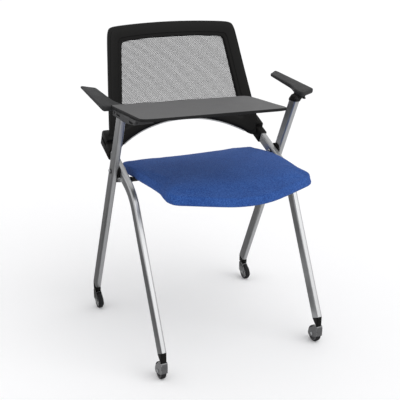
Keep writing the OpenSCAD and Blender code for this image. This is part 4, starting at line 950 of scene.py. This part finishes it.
def seat_edge(y):
    """Height of the seat's upper edge: it falls from a crest to the rear and to the front."""
    back = SEAT_EDGE - REAR_FALL * ((y - CREST_Y) / (REAR_Y - CREST_Y)) ** 2
    front = SEAT_EDGE - FRONT_FALL * ((y - CREST_Y) / (FRONT_Y - CREST_Y)) ** 2
    return np.where(y > CREST_Y, back, front)


def seat_ring(draw_in, share, up, dished):
    p = (seat_loop - draw_in * seat_way) * share + np.array([0, SEAT_Y])
    sink = DISH * (1 - np.minimum(1, np.abs(2 * p[:, 0] / SEAT_W)) ** 2)
    return np.column_stack([p, seat_edge(p[:, 1]) + up - dished * sink])


half_t = CUSHION_T / 2
profile = smooth_line([(0.36, -2, 0), (0.1, -1.78, 0), (0, -1.4, 0), (0, -0.85, 0.4), (0.03, -0.4, 0.8),
                       (0.15, -0.13, 1), (0.42, 0, 1)], 3)
under = [(RIM_IN, s, -OVER_PAN) for s in (0.2, 0.45, 0.7, 0.9, 1)]
under += [(RIM_IN, 1, -u) for u in (15, 19, 23, 26)]
rings = [seat_ring(i, s, u, 0) for i, s, u in under]
rings.append(seat_ring(12.0, 1, -26.9, 0))
rings += [seat_ring(half_t * i, 1, half_t * u, d) for i, u, d in profile]
held_rings = len(under) + 1
top_inset = half_t * profile[-1][0]
rings += [seat_ring(top_inset, s, CROWN * (1 - s**2.5), 1) for s in np.linspace(0.985, 0.1, 32)]
centre_edge = float(seat_edge(np.array(SEAT_Y)))
points, faces = stack_of(rings, (0, SEAT_Y, centre_edge - OVER_PAN), (0, SEAT_Y, centre_edge + CROWN - DISH))
ring_of_point = np.array([k for k, ring in enumerate(rings) for _ in ring] + [0, len(rings)])

# Room for the cross bar: the underside of the rim is lifted over it
BAR_Y, BAR_Z, BAR_ROOM, RIM_FROM = 18.2981, 459.936, 8.0, 5
points = np.array(points)
near = np.abs(points[:, 1] - BAR_Y)
room = BAR_Z + np.sqrt(np.clip(BAR_ROOM**2 - near**2, 0, None))
lift_up = (near < BAR_ROOM) & (points[:, 2] < room) & (ring_of_point >= RIM_FROM)
points[lift_up, 2] = room[lift_up]
print("points of the cushion:", len(points))

# %% Cloth simulation
SWELL, HELD_UP_TO, NEIGHBOURS, FADE_RINGS = 3.5, 7, 8, 8


def blown_up(points, faces, pressure=4.0, voxel=5.0, last=20):
    """Movement of a cloth skin over the form, as rest points and their offsets, in mm."""
    skin = placed("skin", mesh_of("skin", points * MM, faces=faces))
    bpy.context.view_layer.objects.active = skin
    remesh = skin.modifiers.new("even", "REMESH")
    remesh.mode = "VOXEL"
    remesh.voxel_size = voxel * MM
    even = evaluated(skin)
    skin.modifiers.clear()
    skin.data = even
    rest = np.array([v.co for v in even.vertices])
    held_below = seat_edge(rest[:, 1] / MM) * MM - (CUSHION_T - HELD_UP_TO) * MM
    pinned = [int(i) for i in np.where(rest[:, 2] < held_below)[0]]
    skin.vertex_groups.new(name="held").add(pinned, 1.0, "REPLACE")
    cloth = skin.modifiers.new("cloth", "CLOTH")
    for name, value in (("quality", 6), ("mass", 0.25), ("tension_stiffness", 25),
                        ("compression_stiffness", 8), ("bending_stiffness", 0.4), ("use_pressure", True),
                        ("uniform_pressure_force", pressure), ("vertex_group_mass", "held")):
        setattr(cloth.settings, name, value)
    cloth.settings.effector_weights.gravity = 0
    cloth.point_cache.frame_start = 1
    cloth.point_cache.frame_end = last
    for number in range(1, last + 1):
        bpy.context.scene.frame_set(number)
    offsets = np.array([v.co for v in evaluated(skin).vertices]) - rest
    bpy.context.scene.frame_set(1)
    bpy.data.objects.remove(skin)
    return rest / MM, offsets / MM


rest, offsets = blown_up(points, faces)
size = np.linalg.norm(offsets, axis=1)
print("cloth points", len(rest), "moved by up to mm", round(float(size.max()), 1))
offsets *= np.minimum(1, SWELL / np.maximum(size, 1e-9))[:, None]
finder = KDTree(len(rest))
for index, p in enumerate(rest):
    finder.insert(p, index)
finder.balance()
free = np.clip((ring_of_point - held_rings) / FADE_RINGS, 0, 1)
for index in np.where(free > 0)[0]:
    found = finder.find_n(points[index], NEIGHBOURS)
    weights = np.array([1 / (d + 1.0) for _, _, d in found])
    pull = (offsets[[k for _, k, _ in found]] * weights[:, None]).sum(0) / weights.sum()
    points[index] += free[index] * pull

# %% [markdown]
# The cloth is stapled under the pan, so its rim is drawn in by faint folds that fade upwards. The
# weave's map is the plan of the cushion, with the sides folded outwards, so that yarns run straight.

# %% Small pulls of the cloth, and its weave map
FOLD_DEPTH, FOLD_RINGS = 0.45, 9
angles = np.arctan2(points[:, 1] - SEAT_Y, points[:, 0])
rim_share = np.clip(1 - np.abs(ring_of_point - (held_rings + 6)) / FOLD_RINGS, 0, 1)
folds = np.sin(angles * 46 + 1.7 * np.sin(angles * 5)) * 0.5 + np.sin(angles * 83 + 0.6) * 0.3
way = np.column_stack([np.cos(angles), np.sin(angles)])
points[:, :2] += way * (folds * rim_share * FOLD_DEPTH)[:, None]

cushion = make_mesh("seat_cushion_cloth", ([tuple(p) for p in points], faces), 60)
layer = cushion.data.uv_layers.new(name="weave")
co = np.array([v.co for v in cushion.data.vertices])
plan = co[:, :2].copy()
drop = np.clip(seat_edge(co[:, 1] / MM) * MM - co[:, 2], 0, None)
away = np.column_stack([co[:, 0], co[:, 1] - SEAT_Y * MM])
away /= np.maximum(np.linalg.norm(away, axis=1), 1e-9)[:, None]
plan += away * drop[:, None]
corner_points = np.zeros(len(cushion.data.loops), dtype=np.int32)
cushion.data.loops.foreach_get("vertex_index", corner_points)
layer.data.foreach_set("uv", plan[corner_points].astype(np.float32).ravel())
settle(cushion, "seat", "seat_cloth", "seat_cushion")

# %% [markdown]
# ## Bolt and screw heads
# Every head carries a low dome with a hexagon socket. The dome is drawn once, and a Geometry Nodes
# tree sets a copy on each point: the point's own attribute says which way the head looks. The
# copies are made real, one piece for each kind of head.

# %% One head
TURNS = 24


def circle(r, z):
    return [(r * math.cos(a), r * math.sin(a), z) for a in np.arange(TURNS) * (2 * math.pi / TURNS)]


def hexagon(r, z):
    out = []
    for a in np.arange(TURNS) * (2 * math.pi / TURNS):
        inside = (a + math.pi / 6) % (math.pi / 3) - math.pi / 6
        out.append((r / math.cos(inside) * math.cos(a), r / math.cos(inside) * math.sin(a), z))
    return out


def head_mesh():
    """A head of diameter 1, to be scaled where it is placed."""
    rings = [circle(0.5, 0.0), circle(0.49, 0.035), circle(0.44, 0.075), circle(0.36, 0.10),
             hexagon(0.25, 0.105), hexagon(0.24, 0.09), hexagon(0.24, 0.01)]
    head = make_mesh("hex_head", stack_of(rings, (0, 0, 0.0), (0, 0, 0.01)), 30)
    for v in head.data.vertices:
        v.co = v.co / MM
    return head


head = head_mesh()
heads_tree, into, outof = geometry_tree("heads on points", [
    ("Head", "Object", None), ("Head size", "Float", 0.009), ("Head finish", "Material", None)])
cloud = add(heads_tree, "GeometryNodeMeshToPoints", None, Mesh=into["Geometry"])
shape = add(heads_tree, "GeometryNodeObjectInfo", None, Object=into["Head"])
facing = add(heads_tree, "GeometryNodeInputNamedAttribute", {"data_type": "FLOAT_VECTOR"}, Name="facing")
aim = add(heads_tree, "FunctionNodeAlignRotationToVector", {"axis": "Z"}, Vector=facing.outputs["Attribute"])
copies = add(heads_tree, "GeometryNodeInstanceOnPoints", None, Points=cloud.outputs[0],
             Instance=shape.outputs["Geometry"], Rotation=aim.outputs[0], Scale=into["Head size"])
real = add(heads_tree, "GeometryNodeRealizeInstances", None, Geometry=copies.outputs[0])
done = add(heads_tree, "GeometryNodeSetMaterial", None, Geometry=real.outputs[0],
           Material=into["Head finish"])
wire(heads_tree, done.outputs[0], outof["Geometry"])


def heads(name, body, size, places):
    mesh = mesh_of(name, [np.array(p) * MM for p, _ in places])
    facing = mesh.attributes.new("facing", "FLOAT_VECTOR", "POINT")
    facing.data.foreach_set("vector", [float(v) for _, d in places for v in d])
    piece = grown(placed(name + "_points", mesh), heads_tree, name, Head=head, Head_size=size * MM,
                  Head_finish=finishes["plated_steel"])
    piece.data.set_sharp_from_angle(angle=math.radians(30))
    return settle(piece, body, "plated_steel")


# %% Heads at the crossings and under the sockets
CROSS_Y, CROSS_Z, TUBE_HALF_W, HEAD_T, BOLT_HEAD_D = 56.8449, 477.666, 8, 3, 13
outer, inner = ARM_LEG_X + TUBE_HALF_W + HEAD_T, SEAT_LEG_X - TUBE_HALF_W - HEAD_T
heads("crossing_bolt_heads", "frame", BOLT_HEAD_D, [
    ((s * x, CROSS_Y, CROSS_Z), (s * f, 0, 0)) for s in (-1, 1) for x, f in ((outer, 1), (inner, -1))])
TUBE_HALF_D, SCREW_HEAD_T, SCREW_HEAD_D = 15, 2.6, 9
under_tube = TUBE_HALF_D + SOCKET_END + SCREW_HEAD_T
heads("socket_screw_heads", "frame", SCREW_HEAD_D, [
    (on_upper_run(side, [(0, under_tube, START + k * SOCKET_LEN / 3)])[0],
     (0, math.cos(RUN_LEAN), -math.sin(RUN_LEAN))) for side in (-1, 1) for k in (1, 2)])
bpy.data.objects.remove(head)
